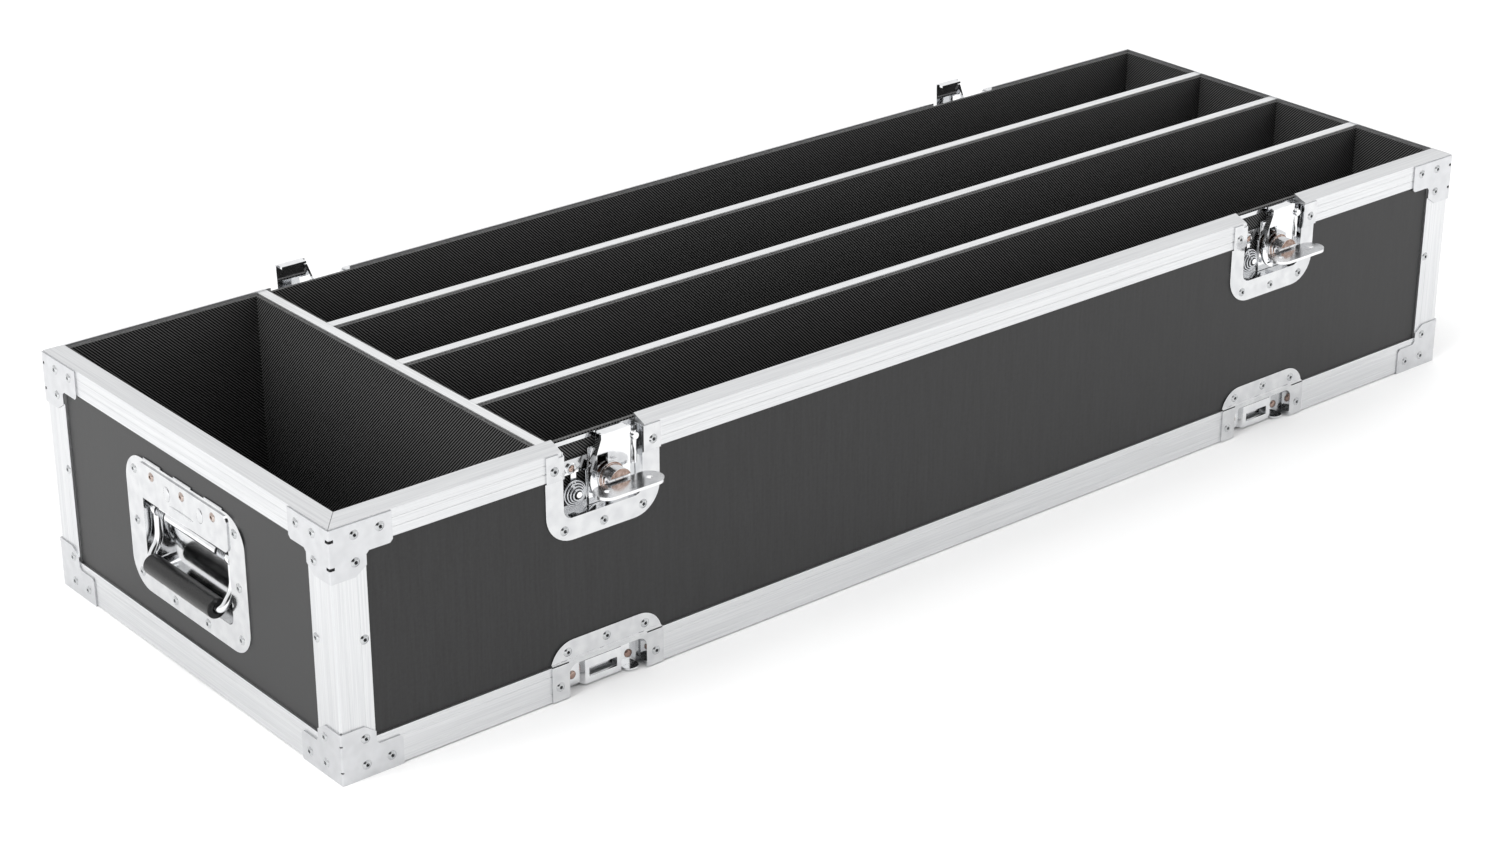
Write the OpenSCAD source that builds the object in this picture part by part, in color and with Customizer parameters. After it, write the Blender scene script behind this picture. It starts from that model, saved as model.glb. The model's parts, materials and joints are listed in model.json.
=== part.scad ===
// Lower half of a long flight case for light bars, with butterfly latches, sprung end handles and dividers.
// Millimetres. X runs along the length, Y from front to rear, Z up, and the origin is under the middle.

/* [Case] */
// Length over the edging, from end to end
case_l = 1240; // [1000:10:1600]
// Width over the edging, from front to rear
case_w = 420; // [380:5:560]
// Height from the floor to the outer edge of the rim
case_h = 210; // [200:2:300]
// Thickness of the laminated plywood
ply_t = 9; // [8.5:0.5:14]
// Thickness of the ribbed foam lining
lining_t = 3; // [2:0.5:5]

/* [Edging] */
// Wall of the aluminium sections
edging_t = 2; // [1.6:0.1:2.6]
// Width of each leg of the corner and bottom sections
edging_leg = 30; // [28:1:36]
// Height of the rim section's outer leg
rim_leg = 22; // [20:1:26]
// Rise of the rim's top from its outer to its inner edge
rim_rise = 5; // [2:0.5:8]
// Height of the rim section's inner leg
rim_inner_leg = 19; // [14:1:26]
// Rounding of the corner section's outer edge
post_round = 2; // [1:0.5:3]
// Width of the fine grooves drawn along each leg
groove_w = 0.9; // [0.4:0.1:1.4]
// Depth of the fine grooves
groove_depth = 0.3; // [0.1:0.05:0.6]

/* [Corner brackets] */
// Thickness of the pressed steel in brackets and dishes
sheet_t = 1.2; // [0.8:0.1:1.5]
// Length of a bracket's level arm
bracket_arm = 53; // [48:1:64]
// Height of a bracket's level arm
bracket_band = 25; // [24:1:32]
// Length of a bracket's upright arm
bracket_drop = 43; // [40:1:56]
// Small cut at the corners of a bracket's level arm
bracket_nip = 2.5; // [1:0.5:4]
// Width of the slanted cut at the end of a bracket's upright arm
bracket_cut_w = 10; // [4:0.5:14]
// Height of that slanted cut
bracket_cut_h = 7; // [4:0.5:10]
// Reach of the slots across an upper bracket's bend
relief_w = 6; // [2:0.5:8]
// Height of those slots
relief_h = 2.4; // [1:0.2:3]

/* [Rivets] */
// Radius of a rivet's shank
rivet_r = 2; // [1.6:0.1:2.4]
// Radius of a rivet's head
rivet_head_r = 3.9; // [3:0.1:4]
// Height of a rivet's head
rivet_head_h = 1.3; // [0.9:0.1:1.4]
// Radius of the hole left in a rivet's head
rivet_eye_r = 1.1; // [0.6:0.1:1.4]
// Depth of that hole
rivet_eye_depth = 0.9; // [0.4:0.1:1.2]
// Distance of the corner rivets from the case's upright edge
rivet_edge = 20.4; // [17:0.2:22]
// Distance from the corner rivet to the next one on each arm
rivet_pitch = 22; // [19:0.5:25]
// Distance of the upper rivets below the rim's outer edge
rivet_drop = 10; // [8:0.5:12]
// Height of the lower rivets above the floor
rivet_low = 11; // [9:0.5:13]
// Distance of the middle rivets from the case's upright edge
post_rivet_edge = 25; // [20:0.5:26]

/* [Compartments] */
// Clear length of the accessory bay at the left end
bay_l = 173; // [120:5:260]
// Thickness of the divider boards
board_t = 9; // [7:0.5:12]
// Thickness of the capping strips
cap_t = 1.5; // [1:0.1:2.5]
// Thickness of a capping strip's tongue
tongue_t = 2; // [1.2:0.1:3]
// Depth of a capping strip's tongue
tongue_h = 5; // [3:0.5:8]
// Drop of the capping strips below the rim's inner edge
cap_drop = 1; // [0:0.5:3]

/* [Latch dishes] */
// Distance of each latch and keeper from the nearer end of the case
latch_in = 244; // [180:2:320]
// Width of a latch or keeper dish over its flange
dish_w = 108; // [100:1:120]
// Width of the recess in a dish
well_w = 75; // [74:1:84]
// Rounding of the recess's corners
well_round = 8; // [4:0.5:12]
// Height of a latch dish from its lower edge to the rim
latch_h = 76.5; // [72:0.5:90]
// Width of the flange under a latch's recess
latch_lip = 18.5; // [16:0.5:20]
// Rounding of a latch flange's lower corners
latch_round = 25; // [18:1:28]
// Height of a keeper dish above the floor
keeper_h = 49; // [46:0.5:60]
// Width of the flange over a keeper's recess
keeper_lip = 20.5; // [16:0.5:22]
// Rounding of a keeper flange's upper corners
keeper_round = 22; // [14:1:26]
// Distance of the side rivets from a dish's edge
dish_rivet_in = 7.4; // [6:0.2:9]
// Distance of the rounded corners' rivets from a dish's sides
dish_corner_in = 16.5; // [14:0.5:20]
// Distance of the rounded corners' rivets from a dish's end
dish_corner_up = 9.5; // [8:0.5:11]
// Distance of the middle rivet from a dish's end
dish_mid_up = 7.5; // [6:0.5:9]
// Height of the stamped notch beside a latch's recess
notch_h = 5; // [3:0.5:7]

/* [Latch mechanism] */
// Distance of the spindle from the middle of its dish
spindle_x = 8; // [7:0.5:9]
// Distance of the spindle below the rim's outer edge
spindle_drop = 35; // [34.5:0.5:36]
// Distance of the claw's hooked lip from the middle of its dish
claw_x = 14; // [12:0.5:14.5]
// Crank radius of the spindle
crank_r = 9; // [7:0.5:9]
// Radius of the crank pin
crank_pin_r = 2.5; // [2:0.1:2.6]
// Radius of the spindle's shaft
shaft_r = 4; // [3:0.1:4.2]
// Radius of the spindle's front flange
flange_r = 12; // [11.8:0.1:13]
// Radius of the spindle's rear disc
disc_r = 12.5; // [11.6:0.1:13]
// Radius of the spindle's barrel
barrel_r = 10.5; // [9:0.5:10.8]
// Reach of the barrel's upper part outside the case's face
barrel_out = 10.5; // [6:0.5:12]
// Width of the spindle's tongue, which carries the wing
tongue_w = 7; // [5:0.5:8]
// Width of the claw
claw_w = 28; // [26:1:28]
// Thickness of the claw
claw_t = 2.5; // [2:0.1:2.6]
// Radius of the claw's lower end
claw_end_r = 19; // [18:0.5:19.5]
// Length of the claw's hooked lip, measured inward
claw_lip = 6; // [4:0.5:6.5]
// Depth of the claw's face behind the case's face
claw_depth = 2.5; // [2.4:0.1:2.8]
// Depth of the flange folded along one side of the claw
claw_side = 3.5; // [2:0.5:4.5]
// Distance of the wing's pin outside the case's face
wing_pin_out = 5.6; // [5:0.2:8]
// Radius of the wing's pin
wing_pin_r = 1.6; // [1.4:0.1:1.8]
// Radius of the wing's knuckles
knuckle_r = 3.6; // [3.4:0.1:4.2]
// Thickness of the wing
wing_t = 2.6; // [2:0.1:3.2]
// Distance from the wing's pin to its finger holes
wing_reach = 14.5; // [12:0.5:16]
// Distance between the wing's finger holes
wing_span = 40; // [36:1:44]
// Radius of the wing's lobes
lobe_r = 11.3; // [10:0.1:11.5]
// Radius of the finger holes
finger_r = 2.6; // [2:0.1:4]
// Thickness of the steel in the base plate, spring bracket and keeper
strap_t = 1.5; // [1.2:0.1:1.6]
// Radius of the claw's guide rod
guide_r = 3; // [2.4:0.1:3.2]

/* [Latch spring] */
// Radius of the spring's wire
wire_r = 0.8; // [0.6:0.05:0.85]
// Radius of the spring's widest turn, to the middle of the wire
spring_r = 11; // [9:0.5:11]
// Number of turns in the spring
spring_turns = 4; // [3:1:4]
// Radius of the stud inside the spring
stud_r = 2.5; // [2:0.1:2.8]

/* [Keepers] */
// Width of a keeper's raised bridge
bridge_w = 35; // [32:1:38]
// Height of a keeper's raised bridge
bridge_h = 21; // [19:0.5:22]
// Depth of the bridge's face behind the case's face
bridge_depth = 6; // [5.5:0.1:6.2]
// Width of the slot that a claw hooks into
slot_w = 27; // [26:0.5:28]
// Height of that slot
slot_h = 8; // [6:0.5:9]
// Width of a keeper's riveted feet
foot_w = 15; // [12:0.5:16]
// Length of the locating tab bent out under one foot
tab_l = 10; // [6:0.5:10]

/* [Handles] */
// Width of a handle dish over its flange
handle_w = 176; // [160:2:190]
// Height of a handle dish over its flange
handle_h = 117; // [114:1:128]
// Rounding of a handle dish's corners
handle_round = 25; // [16:1:28]
// Width of the recess in a handle dish
pocket_w = 128; // [124:1:134]
// Height of the recess in a handle dish
pocket_h = 82; // [80:1:84]
// Depth of the recess's back behind the case's face
pocket_depth = 15; // [14.8:0.2:22]
// Distance of the handle's hinge rod below the recess's top
hinge_drop = 29; // [28:0.5:30]
// Distance of the hinge rod behind the case's face
hinge_depth = 8; // [7.5:0.5:9]
// Radius of the hinge rod
hinge_r = 2.5; // [2:0.1:2.8]
// Distance from the hinge rod to the middle of the grip
bail_l = 43; // [40:0.5:43.5]
// Angle from the hinge rod to the middle of the grip, out of the recess
grip_lean = 16; // [10:1:16]
// Distance between the bail's arms, inside
bail_w = 104; // [96:1:108]
// Radius of the bent rod that is the bail
core_r = 3.5; // [3:0.1:3.8]
// Radius of the eyes at the bail's ends
eye_r = 5; // [4.4:0.1:5.2]
// Radius of the rubber grip
grip_r = 8.5; // [7:0.5:8.5]
// Height of the cover plate over the springs
cover_h = 31; // [29:0.5:32]
// Number of turns in a handle spring
bail_turns = 5; // [3:1:6]
// Distance between the turns of a handle spring
bail_pitch = 2.3; // [2.1:0.1:2.6]

/* [Hidden] */
LATCH_NAMES = ["front_left", "front_right", "rear_left", "rear_right"];
$fn = 48;
// Overrun of every cut past the face that it cuts
over = 1;
// Clearance of a sheet metal piece in its cut-out
fit_gap = 0.3;
// Radial running clearance of a pin or shaft
run_gap = 0.05;
// Clearance between faces that slide past each other
slide_gap = 0.2;

// Places of the latches and keepers, from the middle of the case
latch_x = case_l / 2 - latch_in;

// Depths behind the outer face of the edging
wall_in = edging_t + ply_t;
rim_in = wall_in + edging_t;
lining_in = rim_in + lining_t;
// Heights above the floor
edging_z = sheet_t;
panel_z = edging_z + edging_t;
floor_z = panel_z + ply_t;
inside_z = floor_z + lining_t;
post_z = edging_z + edging_leg;
rim_z = case_h - rim_leg;
panel_top = case_h - edging_t;
rim_top = case_h + rim_rise;
cap_top = rim_top - cap_drop;
// The lining ends just below the strips
lining_top = cap_top - cap_t - run_gap * 2;
inner_leg_z = rim_top - rim_inner_leg;

// Places of the dividers
board_x = -case_l / 2 + lining_in + bay_l + lining_t + board_t / 2;
channel_w = (case_w - 2 * lining_in - 3 * (board_t + 2 * lining_t)) / 4;
channel_pitch = channel_w + board_t + 2 * lining_t;
groove_clear = 0.1;
// Fine gap where two strips or linings meet end to end
joint_gap = 0.2;
// Gap left by the saw at a mitre, along each section
mitre_gap = 0.25;
// Drop of the upper brackets below the rim's outer edge
bracket_inset = 1;

// Places on the latch, measured from the floor and from the dish's middle
latch_low = case_h - latch_h;
well_low = latch_low + latch_lip;
well_back = rim_in - sheet_t;
plate_front = well_back - strap_t;
spindle_z = case_h - spindle_drop;
stroke = 2 * crank_r;
claw_back = claw_depth + claw_t;
flange_front = claw_depth - slide_gap - strap_t;
barrel_front = knuckle_r + fit_gap - wing_pin_out;
tongue_end = wing_pin_out + knuckle_r;
// Left edge of the base plate, and its reach above the spindle
plate_left = -7;
plate_up = 25;
plate_top = spindle_z + plate_up;
// Ends of the guide rod: above the spindle and below the rim, and how far its middle is behind the claw's face
guide_end = 4;
guide_behind = 2;
guide_x = claw_x + claw_w / 2 + guide_r + fit_gap;
guide_low = spindle_z + guide_end;
guide_high = case_h - guide_end;
guide_depth = claw_depth + guide_behind;
// Place of the spring, and of the bracket over it
spring_x = -21;
spring_below = 7.5;
anchor_up = 8;
anchor_h = 12;
anchor_short = 10;
anchor_long = 13;
spring_z = spindle_z - spring_below;
anchor_low = spindle_z + anchor_up;
anchor_high = anchor_low + anchor_h;
anchor_left = spring_x - anchor_short;
anchor_right = spring_x + anchor_long;
stud_front = 3;
spring_back = plate_front - wire_r - slide_gap;
spring_small_r = stud_r + wire_r + fit_gap;
spring_depth = spring_back - stud_front - wire_r;
rings = 8;
sides = 6;
spring_lead = anchor_low - fit_gap - spring_z;
// Lower windows in the dish behind the spring, and the upper one beside the claw
spring_window_w = 25;
spring_window_h = 26;
upper_window_w = 35;
upper_window_h = 20;
hem_h = 3.5;
hem_rise = 1.5;

// Places on the keeper
keeper_top = keeper_h - keeper_lip;
bridge_z = 2;
bridge_step = 2.5;
slot_below = 1;
slot_z = bridge_z + (bridge_h - slot_h) / 2 - slot_below;
foot_z = 3;
foot_h = 18;
foot_x = bridge_w / 2 + bridge_step;
tab_w = 14;
tab_round = 6;
slit_w = 16;
slit_h = 0.9;

// Places on the handle, which sits midway between the bottom section and the rim
pocket_up = 20;
cover_up = 3;
cover_lap = 2;
row_drop = 10.5;
handle_low = (post_z + rim_z - handle_h) / 2;
pocket_low = handle_low + pocket_up;
pocket_top = pocket_low + pocket_h;
hinge_z = pocket_top - hinge_drop;
pocket_round = 8;
flange_top = handle_low + handle_h;
cover_top = flange_top - cover_up;
cover_low = cover_top - cover_h;
cover_w = pocket_w + 2 * cover_lap;
cover_round = 6;
dish_front = edging_t - sheet_t;
bail_spring_r = hinge_r + wire_r + fit_gap;
grip_short = 3;
grip_out = bail_l * sin(grip_lean);
grip_down = bail_l * cos(grip_lean);
// Height over the grip at which the bail's arms bend outward, how far the bend reaches in, and the places
// along it, as shares of the way inward, outward and up
elbow_up = 16;
bend_in = 5;
eye_in = 0.5;
bend_shares = [[0, 0, 1], [0, 0.72, 0.22], [1, 1, 0]];
handle_row_z = flange_top - row_drop;
handle_row_x = 45.5;

// Turns and signs of the four latches, and where each one's claw rests
latch_turns = [0, 0, 180, 180];
latch_signs = [-1, 1, 1, -1];
latch_lifts = [0, 0, stroke, stroke];
end_turns = [-90, 90];

// Rivets that aren't at a corner
mid_rivet_share = 0.54;
latch_rivet_drop = 14;
low_rivet_share = 0.14;
handle_rivet_in = 12;
handle_corner_in = 13.5;

// Rivets of one face that is half as long as half, as places across and up
function corner_rivets(half) = [for (s = [-1, 1], p = [
        [rivet_edge, case_h - rivet_drop],
        [rivet_edge + rivet_pitch, case_h - rivet_drop],
        [rivet_edge, case_h - rivet_drop - rivet_pitch],
        [rivet_edge, rivet_low],
        [rivet_edge + rivet_pitch, rivet_low],
        [rivet_edge, rivet_low + rivet_pitch]]) [s * (half - p[0]), p[1]]];
function post_rivets(half) = [for (s = [-1, 1]) [s * (half - post_rivet_edge), case_h * mid_rivet_share]];
latch_upper_rivets = [for (s = [-1, 1]) [s * (dish_w / 2 - dish_rivet_in), case_h - latch_rivet_drop]];
latch_lower_rivets = concat([[0, latch_low + dish_mid_up]],
    [for (s = [-1, 1]) [s * (dish_w / 2 - dish_corner_in), latch_low + dish_corner_up]]);
keeper_lower_rivets = [for (s = [-1, 1]) [s * (dish_w / 2 - dish_rivet_in), rivet_low + edging_t]];
keeper_upper_rivets = concat([[0, keeper_h - dish_mid_up]],
    [for (s = [-1, 1]) [s * (dish_w / 2 - dish_corner_in), keeper_h - dish_corner_up]]);
handle_rivets = [for (s = [-1, 1], p = [
        [handle_w / 2 - handle_rivet_in, handle_low + handle_h / 2],
        [handle_w / 2 - handle_corner_in, handle_low + handle_corner_in],
        [handle_w / 2 - handle_corner_in, flange_top - handle_corner_in],
        [handle_w * low_rivet_share, handle_low + dish_mid_up]]) [s * p[0], p[1]]];
cover_rivets = [for (s = [-1, 0, 1]) [s * handle_row_x, handle_row_z]];

// Points along the middle of a coil's wire, round Z, with a straight lead at each end
function coil_angle(i) = 360 * i / rings;
function coil_point(i, n, r0, r1, rise) = let (r = r0 + (r1 - r0) * i / n)
    [r * cos(coil_angle(i)), r * sin(coil_angle(i)), rise * i / n];
function coil_points(turns, r0, r1, rise, lead0, lead1) = let (n = turns * rings,
        first = coil_point(0, n, r0, r1, rise), last = coil_point(n, n, r0, r1, rise))
    concat([first + [0, -lead0, 0]], [for (i = [0:n]) coil_point(i, n, r0, r1, rise)], [last + [0, lead1, 0]]);
// Angle of the radial direction at each of those points
function coil_turns(turns) = concat([0], [for (i = [0:turns * rings]) coil_angle(i)], [0]);
// Least clear distance between neighbouring turns
function coil_gap(turns, r0, r1, rise) = let (n = turns * rings, p = [for (i = [0:n])
        coil_point(i, n, r0, r1, rise)])
    min([for (i = [0:n], j = [0:n]) if (j - i > rings / 2) norm(p[j] - p[i])]) - 2 * wire_r;
echo(latch_spring_gap = coil_gap(spring_turns, spring_r, spring_small_r, spring_depth));
echo(handle_spring_gap = coil_gap(bail_turns, bail_spring_r, bail_spring_r, bail_turns * bail_pitch));

// A round wire along a coil's points
module coil(turns, r0, r1, rise, lead0, lead1) {
    path = coil_points(turns, r0, r1, rise, lead0, lead1);
    out = coil_turns(turns);
    last = len(path) - 1;
    ring_points = [for (i = [0:last], k = [0:sides - 1]) let (b = 360 * k / sides)
        path[i] + wire_r * [cos(b) * cos(out[i]), cos(b) * sin(out[i]), sin(b)]];
    skin = [for (i = [0:last - 1], k = [0:sides - 1], half = [0, 1]) let (
            a = i * sides + k, b = i * sides + (k + 1) % sides)
        half == 0 ? [a, b, b + sides] : [a, b + sides, a + sides]];
    ends = [for (k = [1:sides - 2], end = [0, 1]) let (base = last * sides)
        end == 0 ? [0, k + 1, k] : [base, base + k, base + k + 1]];
    polyhedron(points = ring_points, faces = concat(skin, ends));
}

// Places children on an outer face: X across it, Y inward from it, Z up
module on_face(turn, half) rotate([0, 0, turn]) translate([0, -half, 0]) children();
module at_latch(i) on_face(latch_turns[i], case_w / 2) translate([latch_signs[i] * latch_x, 0, 0]) children();
module at_end(i) on_face(end_turns[i], case_l / 2) children();
// A flat outline, drawn across and up, as sheet of thickness t at depth d
module sheet(d, t) translate([0, d + t, 0]) rotate([90, 0, 0]) linear_extrude(t) children();
// A block from depth d0 to d1
module block(x0, x1, d0, d1, z0, z1) translate([x0, d0, z0]) cube([x1 - x0, d1 - d0, z1 - z0]);
// A round bar along the depth
module bar_in(x, z, r, d0, d1) translate([x, d0, z]) rotate([-90, 0, 0]) cylinder(r = r, h = d1 - d0);

// Rectangle centred across, standing on zero, with r0 rounding its lower and r1 its upper corners
module plaque(w, h, r0, r1) {
    translate([-w / 2, r0]) square([w, h - r0 - r1]);
    if (r0 > 0) {
        translate([-w / 2 + r0, 0]) square([w - 2 * r0, h / 2]);
        for (s = [-1, 1]) translate([s * (w / 2 - r0), r0]) circle(r0);
    }
    if (r1 > 0) {
        translate([-w / 2 + r1, h / 2]) square([w - 2 * r1, h / 2]);
        for (s = [-1, 1]) translate([s * (w / 2 - r1), h - r1]) circle(r1);
    }
}
// Bar along X from zero, rounded at its free end
module arm_outline(l, h, r) {
    square([l - r, h]);
    translate([0, r]) square([l, h - 2 * r]);
    for (z = [r, h - r]) translate([l - r, z]) circle(r);
}

module rivet_profile(shank) {
    dome_r = (rivet_head_r * rivet_head_r + rivet_head_h * rivet_head_h) / (2 * rivet_head_h);
    difference() {
        union() {
            intersection() {
                translate([0, dome_r - rivet_head_h]) circle(dome_r, $fn = 96);
                translate([0, -rivet_head_h]) square([rivet_head_r, rivet_head_h]);
            }
            square([rivet_r, shank]);
        }
        translate([-over, -rivet_head_h - over]) square([rivet_eye_r + over, rivet_eye_depth + over]);
    }
}
// Rivets whose heads sit at depth seat and whose shanks end inside the ply
module rivet_set(places, seat) {
    for (p = places) translate([p[0], seat, p[1]]) rotate([-90, 0, 0])
        rotate_extrude() rivet_profile(wall_in - seat);
}
module bore_set(places, depth) {
    for (p = places) bar_in(p[0], p[1], rivet_r + run_gap, -sheet_t - over, depth);
}
module corner_bores(half, depth) bore_set(concat(corner_rivets(half), post_rivets(half)), depth);
module latch_bores(depth) bore_set(concat(latch_upper_rivets, latch_lower_rivets), depth);
module keeper_bores(depth) bore_set(concat(keeper_upper_rivets, keeper_lower_rivets), depth);

// The shapes that a dish takes out of the walls around it
module latch_cutout(gap, d0, d1) {
    w = well_w + 2 * (sheet_t + gap);
    low = well_low - sheet_t - gap;
    sheet(d0, d1 - d0) translate([0, low])
        plaque(w, rim_top + over - low, well_round + sheet_t + gap, 0);
}
module keeper_cutout(gap, d0, d1) {
    w = well_w + 2 * (sheet_t + gap);
    sheet(d0, d1 - d0) translate([0, -over])
        plaque(w, keeper_top + sheet_t + gap + over, 0, well_round + sheet_t + gap);
}
module handle_cutout(gap, d0, d1) {
    w = pocket_w + 2 * (sheet_t + gap);
    sheet(d0, d1 - d0) translate([0, pocket_low - sheet_t - gap])
        plaque(w, pocket_h + 2 * (sheet_t + gap), pocket_round + sheet_t + gap, pocket_round + sheet_t + gap);
}

// Plywood
module bottom_panel() {
    color("#3a3a3b") difference() {
        translate([-case_l / 2 + wall_in, -case_w / 2 + wall_in, panel_z])
            cube([case_l - 2 * wall_in, case_w - 2 * wall_in, ply_t]);
        for (i = [0:3]) at_latch(i) keeper_cutout(fit_gap, -over, rim_in + slide_gap);
    }
}
module long_panel(turn) {
    color("#3a3a3b") difference() {
        on_face(turn, case_w / 2) block(-case_l / 2 + edging_t, case_l / 2 - edging_t,
            edging_t, wall_in, panel_z, panel_top);
        on_face(turn, case_w / 2) {
            corner_bores(case_l / 2, wall_in + over);
            for (s = [-1, 1]) translate([s * latch_x, 0, 0]) {
                latch_cutout(fit_gap, -over, wall_in + over);
                keeper_cutout(fit_gap, -over, wall_in + over);
                latch_bores(wall_in + over);
                keeper_bores(wall_in + over);
            }
        }
    }
}
module end_panel(i) {
    color("#5c5c5e") difference() {
        at_end(i) block(-case_w / 2 + wall_in, case_w / 2 - wall_in, edging_t, wall_in, panel_z, panel_top);
        at_end(i) {
            corner_bores(case_w / 2, wall_in + over);
            handle_cutout(fit_gap, -over, wall_in + over);
            bore_set(handle_rivets, wall_in + over);
            bore_set(cover_rivets, wall_in + over);
        }
    }
}

// Aluminium sections
module groove(z) translate([0, z]) polygon([[-over, -groove_w / 2], [0, -groove_w / 2],
    [groove_depth, 0], [0, groove_w / 2], [-over, groove_w / 2]]);
module rim_profile() {
    difference() {
        polygon([[0, rim_z], [0, case_h], [rim_in, rim_top], [rim_in, inner_leg_z],
            [wall_in, inner_leg_z], [wall_in, panel_top], [edging_t, panel_top], [edging_t, rim_z]]);
        for (z = [case_h - rim_leg / 3, rim_z + rim_leg / 3]) groove(z);
    }
}
module bottom_profile() {
    difference() {
        polygon([[0, edging_z], [0, post_z], [edging_t, post_z], [edging_t, panel_z],
            [edging_leg, panel_z], [edging_leg, edging_z]]);
        for (z = [edging_z + edging_leg / 4, post_z - edging_leg / 4]) groove(z);
    }
}
// A section along X at the front face of a side that is half long, mitred at both ends
module mitred(half, half_width) {
    intersection() {
        translate([-half, -half_width, 0]) rotate([90, 0, 90]) linear_extrude(2 * half) children();
        translate([0, -half_width, 0]) linear_extrude(rim_top + over) polygon([[mitre_gap - half, 0],
            [half - mitre_gap, 0], [half - mitre_gap - edging_leg - over, edging_leg + over],
            [-half + mitre_gap + edging_leg + over, edging_leg + over]]);
    }
}
module rim_long(turn) {
    color("#d9dadc") difference() {
        rotate([0, 0, turn]) mitred(case_l / 2, case_w / 2) rim_profile();
        on_face(turn, case_w / 2) {
            corner_bores(case_l / 2, edging_t + ply_t / 2);
            for (s = [-1, 1]) translate([s * latch_x, 0, 0]) {
                latch_cutout(fit_gap, -over, rim_in + over);
                latch_bores(edging_t + ply_t / 2);
            }
        }
    }
}
module rim_short(i) {
    color("#d9dadc") difference() {
        rotate([0, 0, end_turns[i]]) mitred(case_w / 2, case_l / 2) rim_profile();
        at_end(i) corner_bores(case_w / 2, edging_t + ply_t / 2);
    }
}
module bottom_edging_long() {
    color("#d9dadc") for (turn = [0, 180]) difference() {
        rotate([0, 0, turn]) mitred(case_l / 2, case_w / 2) bottom_profile();
        on_face(turn, case_w / 2) {
            corner_bores(case_l / 2, edging_t + ply_t / 2);
            for (s = [-1, 1]) translate([s * latch_x, 0, 0]) {
                keeper_cutout(fit_gap, -over, rim_in + slide_gap);
                keeper_bores(edging_t + ply_t / 2);
            }
        }
    }
}
module bottom_edging_short() {
    color("#d9dadc") for (i = [0, 1]) difference() {
        rotate([0, 0, end_turns[i]]) mitred(case_w / 2, case_l / 2) bottom_profile();
        at_end(i) corner_bores(case_w / 2, edging_t + ply_t / 2);
    }
}
// Plan of the corner section, with its outer edge at the origin and its legs along X and Y
module post_profile() {
    difference() {
        union() {
            translate([post_round, 0]) square([edging_leg - post_round, edging_t]);
            translate([0, post_round]) square([edging_t, edging_leg - post_round]);
            intersection() {
                translate([post_round, post_round]) circle(post_round);
                square(post_round);
            }
            translate([post_round, post_round]) square([edging_t, edging_t] / 2);
        }
        translate([edging_t, edging_t]) square(edging_leg);
        for (a = [edging_leg / 4 + post_round, edging_leg * 3 / 4]) {
            translate([a, 0]) rotate(90) mirror([0, 1]) groove(0);
            translate([0, a]) groove(0);
        }
    }
}
module corner_posts() {
    color("#d9dadc") difference() {
        for (sx = [0, 1], sy = [0, 1]) mirror([sx, 0, 0]) mirror([0, sy, 0])
            translate([-case_l / 2, -case_w / 2, post_z]) linear_extrude(rim_z - post_z) post_profile();
        for (turn = [0, 180]) on_face(turn, case_w / 2) corner_bores(case_l / 2, edging_t + over);
        for (i = [0, 1]) at_end(i) corner_bores(case_w / 2, edging_t + over);
    }
}

// Corner brackets
module bracket_outline() {
    polygon([[0, 0], [bracket_arm, 0], [bracket_arm, bracket_nip - bracket_band],
        [bracket_arm - bracket_nip, -bracket_band], [edging_leg + bracket_nip, -bracket_band],
        [edging_leg, -bracket_band - bracket_nip], [edging_leg, bracket_cut_h - bracket_drop],
        [edging_leg - bracket_cut_w, -bracket_drop], [0, -bracket_drop]]);
}
// The two upright faces of one bracket at the corner where X and Y are lowest, hanging from zero
module bracket_faces() {
    sheet(-sheet_t, sheet_t) bracket_outline();
    mirror([1, -1, 0]) sheet(-sheet_t, sheet_t) bracket_outline();
    intersection() {
        translate([0, 0, -bracket_drop]) cylinder(r = sheet_t, h = bracket_drop);
        translate([-sheet_t, -sheet_t, -bracket_drop]) cube([sheet_t, sheet_t, bracket_drop]);
    }
}
// Slots across the bend at the heights in z_list
module relief_slots(z_list, w, h) {
    for (z = z_list) translate([0, 0, z]) rotate([0, 0, 45])
        translate([-relief_w, -w / 2, -h / 2]) cube([2 * relief_w, w, h]);
}
module every_corner() {
    for (sx = [0, 1], sy = [0, 1]) mirror([sx, 0, 0]) mirror([0, sy, 0])
        translate([-case_l / 2, -case_w / 2, 0]) children();
}
module all_corner_bores(depth) {
    for (turn = [0, 180]) on_face(turn, case_w / 2) bore_set(corner_rivets(case_l / 2), depth);
    for (i = [0, 1]) at_end(i) bore_set(corner_rivets(case_w / 2), depth);
}
module top_corner_brackets() {
    color("#c2c4c6") difference() {
        every_corner() difference() {
            translate([0, 0, case_h - bracket_inset]) bracket_faces();
            relief_slots([case_h - rivet_drop, case_h - rivet_drop - rivet_pitch], relief_w, relief_h);
        }
        all_corner_bores(edging_t);
    }
}
module bottom_corner_brackets() {
    color("#c2c4c6") difference() {
        every_corner() difference() {
            union() {
                mirror([0, 0, 1]) bracket_faces();
                linear_extrude(sheet_t) {
                    arm_outline(bracket_arm, bracket_band, bracket_nip);
                    mirror([1, -1]) arm_outline(bracket_arm, bracket_band, bracket_nip);
                }
            }
            relief_slots([rivet_low, rivet_low + rivet_pitch], relief_h, relief_h / 2);
        }
        all_corner_bores(edging_t);
    }
}

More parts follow.
